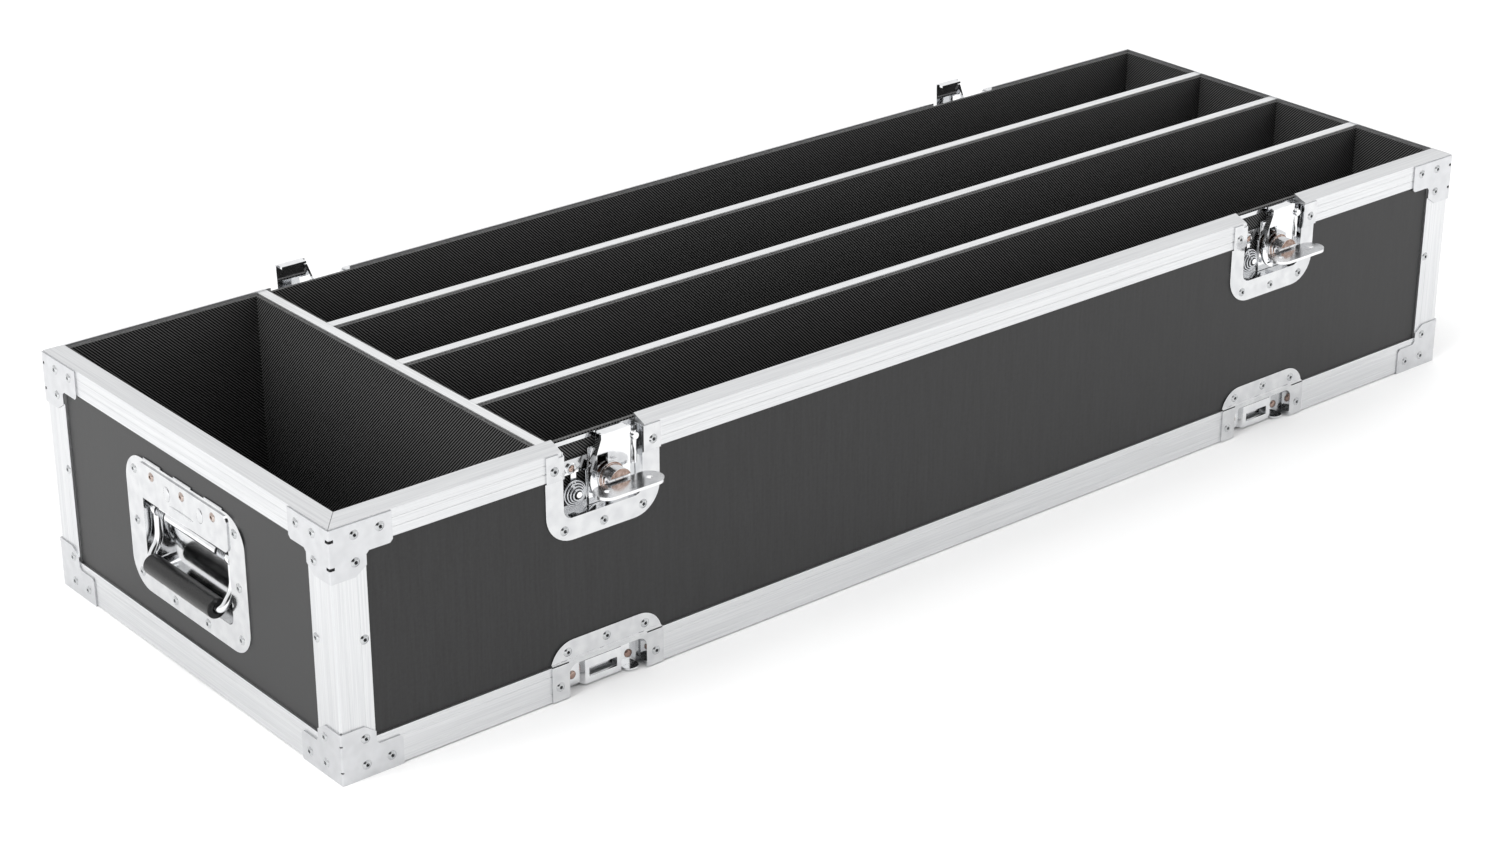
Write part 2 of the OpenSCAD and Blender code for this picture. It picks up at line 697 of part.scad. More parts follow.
// Lining. The inner legs of the rim press a rebate into it
module rim_inner_legs() {
    difference() {
        translate([-case_l / 2, -case_w / 2, inner_leg_z]) cube([case_l, case_w, rim_top]);
        translate([-case_l / 2 + rim_in, -case_w / 2 + rim_in, inner_leg_z - over])
            cube([case_l - 2 * rim_in, case_w - 2 * rim_in, rim_top + 2 * over]);
    }
}
module floor_lining() {
    color("#1b1b1c") translate([-case_l / 2 + lining_in, -case_w / 2 + lining_in, floor_z])
        cube([case_l - 2 * lining_in, case_w - 2 * lining_in, lining_t]);
}
module long_lining(turn) {
    color("#1b1b1c") difference() {
        on_face(turn, case_w / 2) block(-case_l / 2 + wall_in, case_l / 2 - wall_in,
            wall_in, lining_in, floor_z, lining_top);
        rim_inner_legs();
        on_face(turn, case_w / 2) for (s = [-1, 1]) translate([s * latch_x, 0, 0]) {
            latch_cutout(fit_gap, wall_in - over, rim_in + slide_gap);
            keeper_cutout(fit_gap, wall_in - over, rim_in + slide_gap);
        }
    }
}
module end_lining(i) {
    color("#1b1b1c") difference() {
        at_end(i) block(-case_w / 2 + lining_in, case_w / 2 - lining_in, wall_in, lining_in, floor_z, lining_top);
        rim_inner_legs();
        at_end(i) handle_cutout(fit_gap, wall_in - over, lining_in + over);
    }
}

// Dividers: boards standing on the floor lining, faced with lining and capped
module board(l) {
    difference() {
        translate([0, -board_t / 2, inside_z]) cube([l, board_t, cap_top - cap_t - inside_z]);
        translate([-over, -tongue_t / 2 - groove_clear, cap_top - cap_t - tongue_h - groove_clear])
            cube([l + 2 * over, tongue_t + 2 * groove_clear, tongue_h + groove_clear + over]);
    }
}
module facing(l) for (s = [-1, 1]) translate([0, s * (board_t + lining_t) / 2 - lining_t / 2, inside_z])
    cube([l, lining_t, lining_top - inside_z]);
module cap(start, l, tongue_start, tongue_l) {
    translate([start, -board_t / 2, cap_top - cap_t]) cube([l, board_t, cap_t]);
    translate([tongue_start, -tongue_t / 2, cap_top - cap_t - tongue_h]) cube([tongue_l, tongue_t, tongue_h + cap_t / 2]);
}
cross_l = case_w - 2 * lining_in;
cross_over = lining_in - rim_in;
long_start = board_x + board_t / 2 + lining_t;
long_l = case_l / 2 - lining_in - long_start;
module at_cross() translate([board_x, -cross_l / 2, 0]) rotate([0, 0, 90]) children();
module at_long(k) translate([long_start, k * channel_pitch, 0]) children();
module cross_divider() color("#3c3a37") at_cross() board(cross_l);
// What stands at the right end is notched round the back of the handle dish
module notched() difference() {
    children();
    at_end(1) handle_cutout(fit_gap, -over, pocket_depth + fit_gap);
}
module long_divider(k) color("#3c3a37") notched() at_long(k) board(long_l);
module divider_linings() color("#1b1b1c") {
    at_cross() facing(cross_l);
    notched() for (k = [-1:1]) at_long(k) translate([joint_gap, 0, 0]) facing(long_l - joint_gap);
}
module divider_caps() color("#b9bbbd") {
    at_cross() cap(-cross_over, cross_l + 2 * cross_over, 0, cross_l);
    for (k = [-1:1]) at_long(k)
        cap(joint_gap - lining_t, long_l + lining_t + cross_over - joint_gap, 0, long_l);
}

// Latch and keeper dishes: a flange that steps from the edging down to the panel, and a recess
step_run = sheet_t;
module flange_step(low, high, step_z, way) {
    a = step_z - way * run_gap;
    b = a - way * step_run;
    far = way > 0 ? low : high;
    near = way > 0 ? high : low;
    rotate([90, 0, 90]) translate([0, 0, -dish_w]) linear_extrude(2 * dish_w) polygon([[-sheet_t, near],
        [-sheet_t, a - way * sheet_t / 2], [edging_t - sheet_t, b - way * sheet_t / 2],
        [edging_t - sheet_t, far], [edging_t, far], [edging_t, b], [0, a], [0, near]]);
}
module latch_dish() {
    difference() {
        union() {
            intersection() {
                flange_step(latch_low - over, case_h - sheet_t, rim_z, 1);
                sheet(-edging_leg, 2 * edging_leg) translate([0, latch_low])
                    plaque(dish_w, case_h - latch_low, latch_round, 0);
            }
            difference() {
                latch_cutout(0, 0, rim_in);
                translate([0, 0, case_h - sheet_t]) block(-dish_w, dish_w, -over, well_back, 0, edging_leg);
                translate([0, 0, case_h + hem_rise]) block(-dish_w, dish_w, -over, rim_in + over, 0, edging_leg);
                block(-dish_w, dish_w, -over, edging_t - sheet_t / 2, well_low - latch_h, rim_z - step_run);
            }
        }
        sheet(-edging_leg, edging_leg + well_back) translate([0, well_low])
            plaque(well_w, latch_h + edging_leg, well_round, 0);
        // Windows that show the dark lining behind the mechanism
        block(spring_x - spring_window_w / 2, spring_x + spring_window_w / 2, well_back - over, rim_in + over,
            anchor_low - spring_window_h, anchor_low);
        block(spring_x - spring_window_w / 2, spring_x - spring_window_w / 2 + upper_window_w,
            well_back - over, rim_in + over, case_h - hem_h + hem_rise - upper_window_h, case_h - hem_h + hem_rise);
        bar_in(spindle_x, spindle_z, shaft_r + run_gap, well_back - over, rim_in + over);
        latch_bores(edging_t + ply_t / 2);
        translate([-well_w / 2 - notch_h, 0, case_h - latch_rivet_drop + notch_h * 2])
            sheet(-sheet_t - over, 2 * sheet_t) arm_outline(notch_h + over, notch_h, notch_h / 2 - run_gap);
    }
}
module keeper_dish() {
    difference() {
        union() {
            intersection() {
                flange_step(edging_z, keeper_h + over, post_z, -1);
                sheet(-edging_leg, 2 * edging_leg) plaque(dish_w, keeper_h, 0, keeper_round);
            }
            difference() {
                keeper_cutout(0, 0, rim_in);
                block(-dish_w, dish_w, -over, rim_in + over, -edging_leg, edging_z);
                block(-dish_w, dish_w, -over, edging_t - sheet_t / 2, post_z + step_run, keeper_h + edging_leg);
            }
        }
        sheet(-edging_leg, edging_leg + well_back) translate([0, -over])
            plaque(well_w, keeper_top + over, 0, well_round);
        keeper_bores(edging_t + ply_t / 2);
        for (s = [-1, 1]) translate([s * dish_w / 2, 0, 0])
            block(-slit_w, slit_w, -edging_t, edging_t + over, post_z, post_z + slit_h);
    }
}
module latch_dishes() color("#c9cbcd") for (i = [0:3]) at_latch(i) latch_dish();
module keeper_dishes() color("#c9cbcd") for (i = [0:3]) at_latch(i) keeper_dish();

// Base plate with the shaft's bore, and the rod that guides the claw
module base_plate() {
    side = well_w / 2 - slide_gap;
    difference() {
        union() {
            intersection() {
                union() {
                    block(plate_left, side, plate_front, well_back, well_low, plate_top);
                    block(guide_x - guide_r * 2, side, plate_front, well_back, well_low, guide_high);
                }
                sheet(plate_front - over, strap_t + over) translate([0, well_low + slide_gap])
                    plaque(well_w - 2 * slide_gap, latch_h, well_round, 0);
            }
            translate([guide_x, guide_depth, guide_low]) cylinder(r = guide_r, h = guide_high - guide_low);
            block(guide_x - guide_r / 2, guide_x + guide_r / 2, guide_depth, plate_front + strap_t / 2,
                guide_low, guide_high);
            bar_in(guide_x, guide_high - guide_r * 1.3, guide_r, guide_depth - guide_r - sheet_t, guide_depth);
        }
        bar_in(spindle_x, spindle_z, shaft_r + run_gap, plate_front - over, well_back + over);
    }
}
module latch_base_plates() color("#d3d5d6") for (i = [0:3]) at_latch(i) base_plate();

// Bracket riveted over the spring, with a strap that carries the stud inside the coil
module spring_bracket() {
    block(anchor_left, anchor_right, plate_front, well_back, anchor_low, anchor_high);
    block(spring_x - stud_r, spring_x + stud_r, plate_front, well_back, spring_z, anchor_low + over);
    bar_in(spring_x, spring_z, stud_r, stud_front, well_back);
    bar_in(anchor_left + stud_r * 3, anchor_low + stud_r * 2, stud_r, plate_front - sheet_t, plate_front + over / 2);
}
module latch_spring_brackets() color("#b4b1aa") for (i = [0:3]) at_latch(i) spring_bracket();
module latch_springs() color("#a9abad") for (i = [0:3]) at_latch(i) translate([spring_x, spring_back, spring_z])
    rotate([90, 0, 0]) mirror([0, 1, 0])
        coil(spring_turns, spring_r, spring_small_r, spring_depth, spring_lead, 2 * wire_r);

// Claw: a plate that slides up and down, with a hooked lip and a crossed slot for the crank pin and shaft.
// Its upper end is level with the lip and its lower end is round about the spindle.
// Its sides are tangents from the lip's ends to the round.
claw_mid = [spindle_x, spindle_z];
claw_top = case_h + sheet_t;
claw_corners = [for (s = [-1, 1]) [claw_x + s * claw_w / 2, claw_top - 2 * edging_t]];
function tangent(from, s) = let (v = from - claw_mid, a = atan2(v.y, v.x) - s * acos(claw_end_r / norm(v)))
    claw_mid + claw_end_r * [cos(a), sin(a)];
claw_tangents = [tangent(claw_corners[0], -1), tangent(claw_corners[1], 1)];
fold_z = spindle_z + flange_r + edging_t;
fold_x = claw_tangents[0].x + (claw_corners[0].x - claw_tangents[0].x) * (fold_z - claw_tangents[0].y)
    / (claw_corners[0].y - claw_tangents[0].y);
module claw_outline() {
    polygon([claw_corners[0] + [0, 2 * edging_t], claw_corners[0], claw_tangents[0], claw_tangents[1],
        claw_corners[1], claw_corners[1] + [0, 2 * edging_t]]);
    translate(claw_mid) circle(claw_end_r);
}
module claw(lift) {
    top = claw_top;
    pin_slot = crank_pin_r + crank_r * yoke_share + slide_gap;
    left = claw_x - claw_w / 2;
    window_z = spindle_z + shaft_r + slide_gap * 2 + edging_t;
    translate([0, 0, lift]) difference() {
        union() {
            sheet(claw_depth, claw_t) claw_outline();
            block(left + edging_t, left + claw_w - edging_t, claw_back - over, claw_back + claw_lip,
                top - edging_t, top);
            sheet(claw_back - over, claw_side + over) polygon([claw_corners[0], [fold_x, fold_z],
                [fold_x + edging_t, fold_z], claw_corners[0] + [edging_t, 0]]);
        }
        block(spindle_x - shaft_r - slide_gap * 2, spindle_x + shaft_r + slide_gap * 2, claw_depth - over,
            claw_back + over, spindle_z - claw_end_r - over, spindle_z + shaft_r + slide_gap * 2);
        block(spindle_x - crank_r - crank_pin_r - slide_gap, spindle_x + crank_r + crank_pin_r + slide_gap,
            claw_depth - over, claw_back + over, spindle_z - crank_r - pin_slot, spindle_z - crank_r + pin_slot);
        block(spindle_x - flange_r, spindle_x - shaft_r / 2, claw_depth - over, claw_back + over,
            window_z, window_z + window_h);
    }
}
// Height of the window beside the spindle in the claw
window_h = 14;
// How far, as a share of the crank radius, the crank pin strays from an even rise
yoke_share = 0.22;

// Spindle: a shaft between two discs, with the crank pin, and a tongue outside for the wing
module spindle(turn) {
    translate([spindle_x, 0, spindle_z]) rotate([0, turn, 0]) difference() {
        union() {
            bar_in(0, 0, shaft_r, flange_front + strap_t / 2, rim_in - slide_gap);
            bar_in(0, 0, flange_r, flange_front, flange_front + strap_t);
            bar_in(0, 0, disc_r, claw_back + slide_gap, claw_back + slide_gap + strap_t);
            bar_in(0, 0, shaft_r * 1.5, claw_back + slide_gap + strap_t / 2, plate_front - slide_gap);
            bar_in(0, -crank_r, crank_pin_r, flange_front + strap_t / 2, claw_back + slide_gap + strap_t / 2);
            bar_in(0, 0, barrel_r, barrel_front, flange_front + strap_t / 2);
            intersection() {
                bar_in(0, 0, barrel_r, -barrel_out, barrel_front + over / 2);
                block(-barrel_r, barrel_r, -barrel_out, barrel_front + over / 2, knuckle_r + fit_gap, barrel_r);
            }
            block(-tongue_w / 2, tongue_w / 2, -wing_pin_out, barrel_front + over / 2, -knuckle_r, knuckle_r);
            translate([-tongue_w / 2, -wing_pin_out, 0]) rotate([0, 90, 0]) cylinder(r = knuckle_r, h = tongue_w);
        }
        translate([-tongue_w, -wing_pin_out, 0]) rotate([0, 90, 0])
            cylinder(r = wing_pin_r + run_gap, h = 2 * tongue_w);
    }
}
knuckle_w = 5.7;
knuckle_out = tongue_w / 2 + fit_gap + knuckle_w;
knuckle_in = tongue_w / 2 + fit_gap;
// Wing: two lobes with finger holes, and a knuckle on each side of the spindle's tongue
module wing() {
    hole_y = -wing_pin_out - wing_reach;
    translate([spindle_x, 0, spindle_z]) difference() {
        union() {
            translate([0, 0, -wing_t / 2]) linear_extrude(wing_t) {
                for (s = [-1, 1]) translate([s * wing_span / 2, hole_y]) circle(lobe_r);
                translate([-wing_span / 2, hole_y - lobe_r]) square([wing_span, 2 * lobe_r]);
                translate([-knuckle_out, hole_y]) square([2 * knuckle_out, wing_reach]);
            }
            for (s = [-1, 1]) translate([s * (knuckle_in + knuckle_out) / 2 - (knuckle_out - knuckle_in) / 2,
                -wing_pin_out, 0]) rotate([0, 90, 0]) cylinder(r = knuckle_r, h = knuckle_out - knuckle_in);
        }
        block(-knuckle_in, knuckle_in, -tongue_end - fit_gap, 0, -knuckle_r, knuckle_r);
        translate([-knuckle_out - over, -wing_pin_out, 0]) rotate([0, 90, 0])
            cylinder(r = wing_pin_r + run_gap, h = 2 * (knuckle_out + over));
        for (s = [-1, 1]) translate([s * wing_span / 2, hole_y, -wing_t]) cylinder(r = finger_r, h = 2 * wing_t);
    }
}
module wing_pin() translate([spindle_x - knuckle_out - fit_gap, -wing_pin_out, spindle_z]) rotate([0, 90, 0])
    cylinder(r = wing_pin_r, h = 2 * (knuckle_out + fit_gap));

module claw_at(i) color("#cfd1d3") at_latch(i) claw(latch_lifts[i]);
module spindle_at(i) color("#b9b3a8") at_latch(i) spindle(latch_lifts[i] > 0 ? 180 : 0);
module wing_at(i) color("#c4c6c9") at_latch(i) wing();
module wing_pin_at(i) color("#8f9194") at_latch(i) wing_pin();

// Keeper: a hat section riveted in the recess, with the claw's slot in its raised bridge
module keeper_bracket() {
    hat = bridge_w / 2;
    difference() {
        union() {
            translate([0, 0, bridge_z]) linear_extrude(bridge_h) polygon([[-foot_x, well_back],
                [-foot_x, plate_front], [-hat, bridge_depth], [hat, bridge_depth],
                [foot_x, plate_front], [foot_x, well_back],
                [foot_x - strap_t / 2, well_back], [hat - strap_t, bridge_depth + strap_t],
                [-hat + strap_t, bridge_depth + strap_t], [-foot_x + strap_t / 2, well_back]]);
            for (s = [-1, 1]) translate([s * (foot_x + foot_w / 2), 0, 0])
                block(-foot_w / 2 - over / 2, foot_w / 2, plate_front, well_back, foot_z, foot_z + foot_h);
            for (s = [-1, 1]) bar_in(s * (foot_x + foot_w / 2), foot_z + foot_h / 2, rivet_r + over / 2,
                plate_front - sheet_t / 2, plate_front + over / 2);
            translate([foot_x + foot_w / 2, 0, edging_z]) {
                block(-tab_w / 2, tab_w / 2, well_back - strap_t, well_back, 0, foot_z);
                linear_extrude(strap_t) intersection() {
                    translate([-tab_w / 2, well_back - tab_l]) square([tab_w, tab_l]);
                    union() {
                        translate([-tab_w / 2, well_back - tab_l + tab_round]) square([tab_w, tab_l]);
                        translate([-tab_w / 2 + tab_round, well_back - tab_l])
                            square([tab_w - 2 * tab_round, tab_l]);
                        for (s = [-1, 1])
                            translate([s * (tab_w / 2 - tab_round), well_back - tab_l + tab_round])
                                circle(tab_round);
                    }
                }
            }
        }
        block(-slot_w / 2, slot_w / 2, 0, well_back - over, slot_z, slot_z + slot_h);
    }
}
module keeper_bracket_at(i) color("#d3d5d6") at_latch(i) keeper_bracket();

// Handle dish, cover plate, hinge rod, bail, grip and springs
module handle_dish(i) {
    color("#c9cbcd") at_end(i) difference() {
        union() {
            sheet(dish_front, sheet_t) translate([0, handle_low])
                plaque(handle_w, handle_h, handle_round, handle_round);
            handle_cutout(0, edging_t - sheet_t / 2, pocket_depth);
        }
        sheet(dish_front - over, pocket_depth - sheet_t - dish_front + over) translate([0, pocket_low])
            plaque(pocket_w, pocket_h, pocket_round, pocket_round);
        bore_set(handle_rivets, edging_t + ply_t / 2);
        bore_set(cover_rivets, edging_t + ply_t / 2);
        translate([-handle_w / 2, hinge_depth, hinge_z]) rotate([0, 90, 0])
            cylinder(r = hinge_r + run_gap, h = handle_w);
    }
}
module handle_covers() {
    color("#c9cbcd") for (i = [0, 1]) at_end(i) difference() {
        sheet(dish_front - sheet_t, sheet_t) translate([0, cover_low])
            plaque(cover_w, cover_h, cover_round, cover_round);
        bore_set(cover_rivets, edging_t);
    }
}
module handle_rods() color("#8f9194") for (i = [0, 1]) at_end(i)
    translate([-pocket_w / 2 - sheet_t, hinge_depth, hinge_z]) rotate([0, 90, 0])
        cylinder(r = hinge_r, h = pocket_w + 2 * sheet_t);
module handle_springs() color("#a9abad") for (i = [0, 1], s = [0, 1]) at_end(i) mirror([s, 0, 0])
    translate([bail_w / 2 - slide_gap - wire_r - bail_turns * bail_pitch, hinge_depth, hinge_z]) rotate([0, 90, 0])
        coil(bail_turns, bail_spring_r, bail_spring_r, bail_turns * bail_pitch, 2 * wire_r, 2 * wire_r);
// The bail hangs straight down from the hinge rod, and bends outward and inward at the grip
module at_rod() translate([0, hinge_depth, hinge_z]) children();
module rod_between(a, b) {
    way = b - a;
    translate(a) rotate([0, acos(way.z / norm(way)), atan2(way.y, way.x)]) cylinder(r = core_r, h = norm(way));
}
module bail(i) {
    arm_x = bail_w / 2 + core_r;
    bends = concat([[arm_x, 0, 0]], [for (p = bend_shares) [arm_x - bend_in * p.x, -grip_out * p.y,
        elbow_up * p.z - grip_down]]);
    color("#bfc1c3") at_end(i) at_rod() difference() {
        union() {
            translate([bend_in - arm_x, -grip_out, -grip_down]) rotate([0, 90, 0])
                cylinder(r = core_r, h = 2 * (arm_x - bend_in));
            for (s = [0, 1]) mirror([s, 0, 0]) {
                for (k = [0:2]) rod_between(bends[k], bends[k + 1]);
                for (k = [1:3]) translate(bends[k]) sphere(core_r + run_gap * 4);
                translate([bail_w / 2 + eye_in, 0, 0]) rotate([0, 90, 0])
                    cylinder(r = eye_r, h = 2 * (core_r - eye_in));
            }
        }
        translate([-bail_w, 0, 0]) rotate([0, 90, 0]) cylinder(r = hinge_r + run_gap, h = 2 * bail_w);
    }
}
module grip(i) {
    color("#232325") at_end(i) at_rod() translate([-bail_w / 2 + grip_short + slide_gap, -grip_out, -grip_down])
        rotate([0, 90, 0]) difference() {
            cylinder(r = grip_r, h = bail_w - 2 * grip_short - 2 * slide_gap);
            translate([0, 0, -over]) cylinder(r = core_r + run_gap, h = bail_w + 2 * over);
        }
}

module rivets() {
    color("#c6c8ca") {
        for (turn = [0, 180]) on_face(turn, case_w / 2) {
            rivet_set(corner_rivets(case_l / 2), -sheet_t);
            rivet_set(post_rivets(case_l / 2), 0);
        }
        for (i = [0:3]) at_latch(i) {
            rivet_set(concat(latch_upper_rivets, keeper_lower_rivets), -sheet_t);
            rivet_set(concat(latch_lower_rivets, keeper_upper_rivets), dish_front);
        }
        for (i = [0, 1]) at_end(i) {
            rivet_set(corner_rivets(case_w / 2), -sheet_t);
            rivet_set(post_rivets(case_w / 2), 0);
            rivet_set(handle_rivets, dish_front);
            rivet_set(cover_rivets, dish_front - sheet_t);
        }
    }
}

bottom_panel();
long_panel(0);  // front_panel
long_panel(180);  // rear_panel
end_panel(0);  // left_panel
end_panel(1);  // right_panel
rim_long(0);  // rim_front
rim_long(180);  // rim_rear
rim_short(0);  // rim_left
rim_short(1);  // rim_right
corner_posts();
bottom_edging_long();
bottom_edging_short();
top_corner_brackets();
bottom_corner_brackets();
floor_lining();
long_lining(0);  // lining_front
long_lining(180);  // lining_rear
end_lining(0);  // lining_left
end_lining(1);  // lining_right
cross_divider();
long_divider(-1);  // long_divider_front
long_divider(0);  // long_divider_middle
long_divider(1);  // long_divider_rear
divider_linings();
divider_caps();
latch_dishes();
latch_base_plates();
latch_spring_brackets();
latch_springs();
for (i = [0:3]) {
    claw_at(i);
    spindle_at(i);
    wing_at(i);
    wing_pin_at(i);
    keeper_bracket_at(i);
}
keeper_dishes();
handle_dish(0);  // handle_dish_left
handle_dish(1);  // handle_dish_right
handle_covers();
handle_rods();
handle_springs();
bail(0);  // bail_left
bail(1);  // bail_right
grip(0);  // grip_left
grip(1);  // grip_right
rivets();
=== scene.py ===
# %% [markdown]
# # A flight case for light bars
# The case is a long plywood tray. Bright aluminium sections cover its edges, riveted steel brackets hold its
# corners, black ribbed foam lines it, and latches and handles sit in pressed dishes.
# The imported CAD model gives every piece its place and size, in metres. This script adds what makes the
# picture: the finishes, the softened edges, and the small pressed and drawn shapes that are too fine for
# the model.

# %% Load the frame
import json
import math
import bpy
import bmesh
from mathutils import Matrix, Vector


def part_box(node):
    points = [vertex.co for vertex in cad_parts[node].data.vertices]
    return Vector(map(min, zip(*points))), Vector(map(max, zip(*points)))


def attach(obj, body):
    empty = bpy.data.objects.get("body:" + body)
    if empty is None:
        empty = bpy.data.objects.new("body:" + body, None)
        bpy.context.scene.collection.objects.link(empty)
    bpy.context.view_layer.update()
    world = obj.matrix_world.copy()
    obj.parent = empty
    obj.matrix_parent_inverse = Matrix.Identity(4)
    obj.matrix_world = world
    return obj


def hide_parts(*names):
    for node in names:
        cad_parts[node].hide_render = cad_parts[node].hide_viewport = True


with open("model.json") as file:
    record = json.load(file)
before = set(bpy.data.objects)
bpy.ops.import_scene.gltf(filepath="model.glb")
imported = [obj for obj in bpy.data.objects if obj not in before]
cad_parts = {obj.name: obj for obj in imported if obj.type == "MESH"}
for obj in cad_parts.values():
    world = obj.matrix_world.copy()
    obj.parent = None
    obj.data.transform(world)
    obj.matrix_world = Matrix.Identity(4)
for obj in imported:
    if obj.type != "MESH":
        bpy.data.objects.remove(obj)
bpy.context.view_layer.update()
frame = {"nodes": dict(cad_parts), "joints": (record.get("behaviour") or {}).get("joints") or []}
nodes = frame["nodes"]
MM = 0.001

# %% [markdown]
# ## Camera
# The picture was taken from the front left, above the rim, with a long lens, so the far end is only a little
# smaller than the near one. The place and the lens were solved from the corners of the case, so that the
# drawn corners fall where the real ones do. A long lens far away keeps upright edges nearly upright.

# %% Place the camera
CAMERA_AT = Vector((-1.655, -1.927, 1.194))
AIM_AT = Vector((-0.0497, 0.0108, 0.0487))
LENS_MM, SENSOR_MM = 75.15, 36
camera = bpy.data.objects.new("camera", bpy.data.cameras.new("camera"))
camera.data.sensor_width = SENSOR_MM
camera.data.lens = LENS_MM
camera.location = CAMERA_AT
camera.rotation_euler = (AIM_AT - CAMERA_AT).to_track_quat("-Z", "Y").to_euler()
bpy.context.scene.collection.objects.link(camera)
bpy.context.scene.camera = camera
print("camera distance", round((AIM_AT - CAMERA_AT).length, 3), "m")

# %% [markdown]
# ## Colours and nodes
# A colour picked on a screen is stored with a curve, and the renderer counts light without one. One
# function turns the screen's hex value into the linear one. Materials are graphs of nodes, so one small
# function adds a node, sets it and links it, and every finish below is a short list of such calls.

# %% Helpers for materials
def tone(hex_code):
    """Linear colour of an sRGB hex value, with full cover."""
    shares = [int(hex_code[i:i + 2], 16) / 255 for i in (1, 3, 5)]
    return (*[s / 12.92 if s <= 0.04045 else ((s + 0.055) / 1.055) ** 2.4 for s in shares], 1.0)


def add(tree, kind, inputs=None, **settings):
    """Adds a node. settings are its own options, and inputs are values or the sockets to link."""
    made = tree.nodes.new(kind)
    for name, value in settings.items():
        setattr(made, name, value)
    for name, value in (inputs or {}).items():
        if isinstance(value, bpy.types.NodeSocket):
            tree.links.new(value, made.inputs[name])
        else:
            made.inputs[name].default_value = value
    return made


def begin(name, **values):
    """A new material with one principled shader, and the values that are the same all over it."""
    material = bpy.data.materials.new(name)
    material.use_nodes = True
    tree = material.node_tree
    shader = tree.nodes["Principled BSDF"]
    for socket, value in values.items():
        shader.inputs[socket.replace("_", " ")].default_value = value
    return material, tree, shader


print("mid grey #808080 is", round(tone("#808080")[0], 3), "in linear light")

# %% [markdown]
# ## Floor and light
# The picture is a catalogue one: a white table, a white surround, and a soft shadow close to the case. The
# floor could be a plane with a curved back, but the case is seen from above, so a large pale disc is enough.

# %% Floor
FLOOR_RADIUS = 40
floor_mesh = bpy.data.meshes.new("floor")
shape = bmesh.new()
bmesh.ops.create_circle(shape, cap_ends=True, segments=96, radius=FLOOR_RADIUS)
shape.to_mesh(floor_mesh)
shape.free()
floor = bpy.data.objects.new("floor", floor_mesh)
bpy.context.scene.collection.objects.link(floor)
floor_finish, tree, shader = begin("white_table", Roughness=0.85, Specular_IOR_Level=0.1)
# A trace of unevenness, as in sprayed board
speckle = add(tree, "ShaderNodeTexNoise", {"Scale": 3.0, "Detail": 2.0})
ramp = add(tree, "ShaderNodeValToRGB", {"Fac": speckle.outputs["Fac"]})
ramp.color_ramp.elements[0].color = tone("#fafafa")
ramp.color_ramp.elements[1].color = tone("#fdfdfd")
tree.links.new(ramp.outputs["Color"], shader.inputs["Base Color"])
floor_mesh.materials.append(floor_finish)
print("floor", 2 * FLOOR_RADIUS, "m across")

# %% [markdown]
# ## Lamps and surround
# One wide sun gives an even, soft light that doesn't fall off towards the edges, which keeps the floor white.
# A strong panel from the left lights the end of the case, and a weak one from the right lifts the far end of
# the front. The surround is white too, but for a dark corner in front and above. Polished metal shows what
# it reflects, so domes, rods and folded edges need something dark to mirror, or they would vanish into the
# white.

# %% Lamps
def lamp(name, kind, energy, place, aim, **settings):
    """A lamp at a place, turned to the point it lights."""
    light = bpy.data.lights.new(name, kind)
    light.energy = energy
    for key, value in settings.items():
        setattr(light, key, value)
    holder = bpy.data.objects.new(name, light)
    holder.location = place
    holder.rotation_euler = (Vector(aim) - Vector(place)).to_track_quat("-Z", "Y").to_euler()
    bpy.context.scene.collection.objects.link(holder)
    return holder


SUN_SPREAD = math.radians(45)
lamp("wide_sun", "SUN", energy=1.0, place=(-1.0, -0.6, 4.0), aim=(0, 0, 0), angle=SUN_SPREAD)
left_panel = lamp("left_panel", "AREA", energy=60, place=(-3.2, -0.35, 1.5), aim=(-0.4, 0, 0.1),
    shape="RECTANGLE", size=2.4, size_y=1.6)
right_panel = lamp("right_panel", "AREA", energy=9, place=(1.3, -1.7, 0.7), aim=(0.6, 0, 0.1),
    shape="RECTANGLE", size=1.2, size_y=0.8)
# The panels light only what is matt, or polished faces would mirror them as hard white patches
for panel in (left_panel, right_panel):
    panel.visible_glossy = False
print("one sun and two panels")

# %% Surround
DARK_CORNER = (-0.46, -0.68, 0.57)
surround = bpy.data.worlds.new("studio")
bpy.context.scene.world = surround
surround.use_nodes = True
tree = surround.node_tree
direction = add(tree, "ShaderNodeTexCoord")
# The dot product is one where the surround is seen straight towards the dark corner, and falls off around it
toward = add(tree, "ShaderNodeVectorMath", {0: direction.outputs["Generated"], 1: DARK_CORNER},
    operation="DOT_PRODUCT")
sky = add(tree, "ShaderNodeValToRGB", {"Fac": toward.outputs["Value"]})
sky.color_ramp.elements[0].position = 0.72
sky.color_ramp.elements[0].color = tone("#ffffff")
sky.color_ramp.elements[1].position = 0.9
sky.color_ramp.elements[1].color = tone("#2e2e2e")
tree.links.new(sky.outputs["Color"], tree.nodes["Background"].inputs["Color"])
tree.nodes["Background"].inputs["Strength"].default_value = 1.0
bpy.context.scene.view_settings.view_transform = "Standard"
print("surround", surround.name, "with its dark corner towards", DARK_CORNER)

# %% [markdown]
# ## Laminated plywood
# The walls are birch plywood faced with a black phenolic film that is pressed on hot. The film is nearly
# black, satin, and takes the faint pattern of the veneer under it: fine upright streaks and small mottled
# spots. Two noises make it: a stretched one for the streaks and a round one for the spots, and both move the
# colour and the roughness a little.

